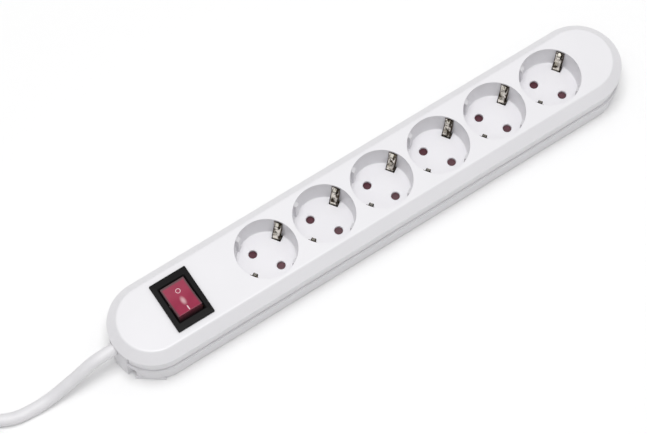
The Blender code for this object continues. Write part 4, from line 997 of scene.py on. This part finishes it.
lead = {
    "radius": 4.0 * mm,
    "length": 1.5,
    "ripple": 0.012,
    "lay": 90 * mm,
    "hank": (-313 * mm, -12 * mm),  # centre of the near end loop
    "run": 71.5 * mm,
    "lanes": np.array([32, 24, 24, 32, 28]) * mm,  # fold radius of each turn
    "levels": np.array([5.5, 5.5, 13.5, 13.5, 20.4]) * mm,
    "shift": np.array([0.55, 0.35, 0.15, 0.0, 1.0]),  # where on its way back a turn leaves its lane
    "change": 0.42,  # how much of the way back the change takes
    "toHank": [
        (-0.1665, 0.0000, 0.0258),
        (-0.1760, 0.0000, 0.0258),
        (-0.1860, 0.0000, 0.0258),
        (-0.2000, 0.0000, 0.0241),
        (-0.2160, 0.0002, 0.0150),
        (-0.2310, 0.0006, 0.0066),
        (-0.2450, 0.0011, 0.0043),
        (-0.2580, 0.0030, 0.0043),
        (-0.2725, 0.0105, 0.0047),
        (-0.2855, 0.0172, 0.0053),
    ],
    "toPlug": [
        (-0.3980, 0.0158, 0.0213),
        (-0.4132, 0.0145, 0.0201),
        (-0.4220, 0.0128, 0.0180),
        (-0.4320, 0.0105, 0.0151),
        (-0.4420, 0.0087, 0.0128),
        (-0.4526, 0.0080, 0.0120),
        (-0.4700, 0.0080, 0.0120),
    ],
}


def hankPoints():
    # each turn: out along +Y, round the far fold, back along -Y and round the near fold; on the way
    # back a turn moves smoothly to the next one's lane and level
    legs = np.arange(0, 17, 0.125)
    turn = np.minimum(legs // 4, 4).astype(int)
    leg, part = np.floor(legs % 4), legs % 1
    back = np.clip((legs % 4 - 2) / 2, 0, 1)
    share = np.clip((back - lead["shift"][turn]) / lead["change"], 0, 1)
    share = share**2 * (3 - 2 * share)
    after = np.minimum(turn + 1, 4)
    radius = lead["lanes"][turn] * (1 - share) + lead["lanes"][after] * share
    level = lead["levels"][turn] * (1 - share) + lead["levels"][after] * share
    nearX, midY = lead["hank"]
    farX, run = nearX - lead["run"], lead["run"]
    angle = math.pi * (part + np.where(leg == 1, 0.5, 1.5))
    inX = [nearX - run * part, farX + radius * np.cos(angle), farX + run * part]
    x = np.select([leg == 0, leg == 1, leg == 2], inX, nearX + radius * np.cos(angle))
    y = midY + np.select([leg == 0, leg == 2], [radius, -radius], radius * np.sin(angle))
    return np.stack([x, y, level], axis=1)


def mainsLead():
    # a tube along the smooth curve through the way to the hank, its turns and the way to the plug
    path = splinePoints(np.vstack([lead["toHank"], hankPoints(), lead["toPlug"]]), 2 * mm)
    long = float(runAlong(path)[-1])
    print(f"lead is {long:.3f} m long")
    points = tubeGrid(path, lead["radius"], 24, lead["ripple"], lead["lay"])
    mesh = gridMesh(points, caps=True, size=(2 * math.pi * lead["radius"], long))
    replaced = ["cord_lead", "cord_hank", "cord_tail"]
    return addPiece("mains_lead", mesh, "housing", "jacket", replaced, 60), path


leadPiece, leadPath = mainsLead()


tape = {
    "width": 16 * mm,
    "thick": 1.0 * mm,
    "room": 0.15 * mm,  # between the lead and the tape
    "top": 14 * mm,  # the end lies only on what is above this
    "end": (8, 44),  # the steps of the loop that the end covers
}


def hankTape():
    # a tape round the hank: the hull of the strands' circles at the tape's place, drawn out by its
    # thickness, and its free end laid over the top
    nearX, midY = lead["hank"]
    middle = nearX - lead["run"] / 2
    strands = leadPath[np.abs(leadPath[:, 0] - middle) < 1.2 * mm][:, 1:]
    angle = np.linspace(0, 2 * math.pi, 240, endpoint=False)
    normal = np.stack([np.cos(angle), np.sin(angle)], axis=1)
    reach = strands @ normal.T
    wide, thick = tape["width"], tape["thick"]
    hull = strands[reach.argmax(axis=0)] + (lead["radius"] + tape["room"] + thick / 2) * normal
    hull[:, 1] = np.maximum(hull[:, 1], thick / 2)
    hull = np.vstack([hull, hull[:1]])
    run = runAlong(hull)
    even = np.linspace(0, run[-1], 160, endpoint=False)
    loop = np.stack([np.interp(even, run, column) for column in hull.T], axis=1)
    first, last = tape["end"]
    end = loop[(loop[:, 1] > tape["top"]) & (np.abs(loop[:, 0] - midY) < 30 * mm)]
    end = end[np.argsort(end[:, 0])][::-1][first:last] + [0, thick + 0.1 * mm]
    band = gridMesh(
        stripGrid(loop, wide, thick, closed=True)[..., [1, 0, 2]] + [middle, 0, 0],
        wrapRows=True,
        size=(2 * (wide + thick), float(run[-1])),
    )
    flap = gridMesh(
        stripGrid(end, wide, thick * 0.9)[..., [1, 0, 2]] + [middle, 0, 0],
        caps=True,
        size=(2 * (wide + thick), 30 * mm),
    )
    return [
        addPiece("hank_tape", band, "housing", "tape", ["cord_tie"], 60),
        addPiece("hank_tape_end", flap, "housing", "tape", (), 60),
    ]


tapePieces = hankTape()
print("lead and tape made")


plug = {
    "centre": (-507.5 * mm, 8.0 * mm),
    "cordZ": 12.0 * mm,
    "back": (20.5 * mm, 18.0 * mm),  # radius, height
    "face": (18.9 * mm, 35.5 * mm),
    "pin": (2.4 * mm, 19.0 * mm, 7.0 * mm),  # radius, length, root inside the face
    "pinCircle": 9.5 * mm,
    "neck": 7.6 * mm,
    "relief": (33.0 * mm, 6.6 * mm, 4.8 * mm),  # length, radius at the plug and at the tip
    "bore": 4.1 * mm,  # round the lead
    "ribs": 6,
    "ribPitch": 3.9 * mm,
    "ribGap": 1.5 * mm,
    "recess": (2.4 * mm, 3.0 * mm),  # depth and half width of each earth contact's recess
    "guide": (4.6 * mm, 2.2 * mm),  # the same of each side groove
    "grip": (0.45 * mm, 0.55 * mm),
}


def plugBody():
    # two turned steps with a neck for the lead; pin holes, recesses, guide grooves and grips cut
    backRadius, backHigh = plug["back"]
    faceRadius, faceZ = plug["face"]
    corners = [
        (4 * mm, 0),
        (backRadius - 1.2 * mm, 0),
        (backRadius, 3 * mm),
        (backRadius, backHigh - 2 * mm),
        (faceRadius, backHigh),
        (faceRadius, faceZ),
        (faceRadius - 5 * mm, faceZ),
    ]
    profile = roundedLine(corners, np.array([1.2, 1.2, 1.0, 0.5, 0.8]) * mm, 7)
    mesh = turned(profile, 128)
    wide, far = plug["neck"], backRadius + 0.5 * mm
    neck = [(wide + 1.2 * mm, 0), (wide, backRadius - 4 * mm), (wide, far), (3 * mm, far)]
    neck = roundedLine(neck, [2 * mm, 0.6 * mm], 6)
    neck = turned(neck, 64, math.pi / 2, "Y", (0, 0, plug["cordZ"]))
    mesh = combine(mesh, [neck], "UNION")
    pinRadius, _, pinRoot = plug["pin"]
    loose = pinRadius + 0.3 * mm
    hole = [(loose, faceZ - pinRoot - 0.3 * mm), (loose, faceZ - 0.4 * mm)]
    hole.append((pinRadius + 1.0 * mm, faceZ + 0.3 * mm))
    cuts = [turned(hole, 40, place=(0, side * plug["pinCircle"], 0)) for side in (-1, 1)]
    sides = (
        ("recess", backHigh + 2 * mm, 0.3 * mm, 0.0),
        ("guide", backHigh + 1.5 * mm, 0.6 * mm, math.pi / 2),
    )
    for side in (-1, 1):
        for name, bottom, corner, turn in sides:
            deep, half = plug[name]
            low, high = sorted((side * (faceRadius - deep), side * (faceRadius + mm)))
            cut = boxMesh(low, high, -half, half, bottom, faceZ + mm, corner)
            cuts.append(turnedAbout(cut, turn))
    deep, half = plug["grip"]
    grip = (backRadius - deep, backRadius + mm, -half, half, 4 * mm, backHigh - 3.5 * mm)
    for angle in np.radians(np.concatenate([np.arange(55, 126, 7), np.arange(235, 306, 7)])):
        cuts.append(turnedAbout(boxMesh(*grip, 0.2 * mm), float(angle)))
    mesh = combine(mesh, cuts, "DIFFERENCE")
    turnedAbout(mesh, place=(*plug["centre"], 0))
    return addPiece("plug_housing", mesh, "housing", "plug", ["plug_body"])


def plugPins():
    # two turned pins with domed tips, and two strips bent in at the top in the side recesses
    radius, long, root = plug["pin"]
    x, y = plug["centre"]
    foot, tip = plug["face"][1] - root, plug["face"][1] + long
    corners = [(0.5 * mm, foot), (radius, foot), (radius, tip - 1.8 * mm)]
    corners += [(1.2 * mm, tip), (0.3 * mm, tip)]
    profile = roundedLine(corners, np.array([0.2, 1.6, 0.8]) * mm, 8)
    made = []
    for number, side in enumerate((-1, 1), 1):
        name, replaced = f"round_pin_{number}", [f"plug_pin_{number}"]
        mesh = turned(profile, 40, place=(x, y + side * plug["pinCircle"], 0))
        made.append(addPiece(name, mesh, "housing", "steel", replaced))
        name, replaced = f"side_contact_{number}", [f"plug_earth_contact_{number}"]
        low, high = (np.array(corner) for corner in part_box(replaced[0]))
        at = float(low[0] + high[0]) / 2
        path = [(at, low[2]), (at, high[2] - 0.4 * mm), (at - side * 0.2 * mm, high[2])]
        strip = stripGrid(roundedLine(path, [3 * mm], 8), float(high[1] - low[1]), 0.6 * mm)
        mesh = turnedAbout(gridMesh(strip, caps=True), place=(0, y, 0))
        made.append(addPiece(name, mesh, "housing", "nickel", replaced))
    return made


def strainRelief():
    # a tapered sleeve cut by rings of paired slots, with a collar at the plug
    long, root, tip = plug["relief"]
    start = plug["back"][0] + 0.8 * mm
    end, bore = start + long, plug["bore"]
    corners = [
        (4.3 * mm, start),
        (root, start),
        (root, start + 4 * mm),
        (root - 0.6 * mm, start + 5 * mm),
        (tip, end),
        (4.15 * mm, end),
    ]
    outer = roundedLine(corners, np.array([0.3, 0.5, 0.5, 0.3]) * mm, 5)
    profile = np.vstack([outer, [(bore, end - 0.4 * mm), (bore, start + 0.4 * mm)]])
    mesh = turned(profile, 64, ring=True)
    cuts = []
    for i in range(plug["ribs"]):
        z = start + 8 * mm + i * plug["ribPitch"]
        for side in (-1, 1):
            low, high = sorted((side * 1.4 * mm, side * 9 * mm))
            slot = boxMesh(low, high, -9 * mm, 9 * mm, z, z + plug["ribGap"])
            cuts.append(turnedAbout(slot, math.pi / 2 * (i % 2)))
    inner = turned([(4.6 * mm, start - mm), (4.6 * mm, end + mm)], 48)
    cuts = [combine(joined(cuts), [inner], "DIFFERENCE")]
    mesh = combine(mesh, cuts, "DIFFERENCE")
    turnedAbout(mesh, math.pi / 2, "Y", (*plug["centre"], plug["cordZ"]))
    return addPiece("strain_relief", mesh, "housing", "plug", ["plug_strain_relief"])


plugPieces = [plugBody()] + plugPins() + [strainRelief()]
print("plug made")


poles = ("live", "neutral")
bothPoles = ("contact_lever", "terminal_in", "terminal_out")
kept = {
    "white": ["cord_clamp"],
    "steel": ["earth_bar", "clamp_screw_1", "clamp_screw_2"]
    + [f"shutter_spring_{n}" for n in range(1, 7)],
    "brass": [f"{pole}_bar" for pole in poles]
    + [f"{kind}_{pole}" for kind in bothPoles for pole in poles],
    "black": [f"plunger_{pole}" for pole in poles],
    "glass": ["neon_lamp"],
    "brown": ["live_in_wire", "live_out_wire"],
    "blue": ["neutral_in_wire", "neutral_out_wire"],
    "earth": ["earth_wire"],
}
for finish, names in kept.items():
    for name in names:
        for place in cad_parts[name].material_slots:
            place.material = finishes[finish]
print("kept pieces finished")


view = {
    "lens": 137.7,
    "place": (-0.3484, -0.4976, 1.4366),
    "right": (0.8374, -0.5466, -0.0062),
    "up": (0.506, 0.7709, 0.3869),
    "back": (-0.2067, -0.3271, 0.9221),
}
studio = {
    "floor": 6.0,
    "zenith": 0.72,
    "horizon": 0.12,
    "key": 26.0,
    "keyPlace": (-0.15, -0.12, 2.3),
    "keySize": 0.9,
}


def placeCamera():
    # a camera whose axes are the three given directions
    data = bpy.data.cameras.new("camera")
    data.lens = view["lens"]
    data.sensor_width = 36.0
    camera = bpy.data.objects.new("camera", data)
    turn = Matrix((view["right"], view["up"], view["back"])).transposed().to_4x4()
    camera.matrix_world = Matrix.Translation(view["place"]) @ turn
    scene.collection.objects.link(camera)
    scene.camera = camera


def layFloor():
    # a plain matt sheet, whiter than the object
    half = studio["floor"] / 2
    corners = [(-half, -half, 0), (half, -half, 0), (half, half, 0), (-half, half, 0)]
    mesh = bpy.data.meshes.new("floor")
    mesh.from_pydata(corners, [], [(0, 1, 2, 3)])
    floor = bpy.data.objects.new("floor", mesh)
    scene.collection.objects.link(floor)
    finish, _, shader, _ = startFinish("white_paper", Roughness=0.9, Specular_IOR_Level=0.2)
    shader.inputs["Base Color"].default_value = linear("FBFBFB")
    mesh.materials.append(finish)


def lightStudio():
    # a dome of light, bright above and dim at the horizon, and one broad soft box overhead
    world = bpy.data.worlds.new("studio")
    world.use_nodes = True
    tree = world.node_tree
    where = addNode(tree, "TexCoord").outputs["Generated"]
    rise = addNode(tree, "SeparateXYZ", {"Vector": where}).outputs["Z"]
    limits = {"Value": rise, "From Min": 0.0, "From Max": 0.9}
    limits.update({"To Min": studio["horizon"], "To Max": studio["zenith"]})
    level = addNode(tree, "MapRange", limits, interpolation_type="SMOOTHSTEP")
    tree.nodes["Background"].inputs["Color"].default_value = (1, 1, 1, 1)
    tree.links.new(level.outputs["Result"], tree.nodes["Background"].inputs["Strength"])
    scene.world = world
    data = bpy.data.lights.new("soft_box", "AREA")
    data.energy = studio["key"]
    data.size = studio["keySize"]
    lamp = bpy.data.objects.new("soft_box", data)
    place = Vector(studio["keyPlace"])
    turn = place.to_track_quat("Z", "Y").to_matrix().to_4x4()
    lamp.matrix_world = Matrix.Translation(place) @ turn
    scene.collection.objects.link(lamp)
    scene.view_settings.view_transform = "Standard"


placeCamera()
layFloor()
lightStudio()
print("camera, floor and light placed")
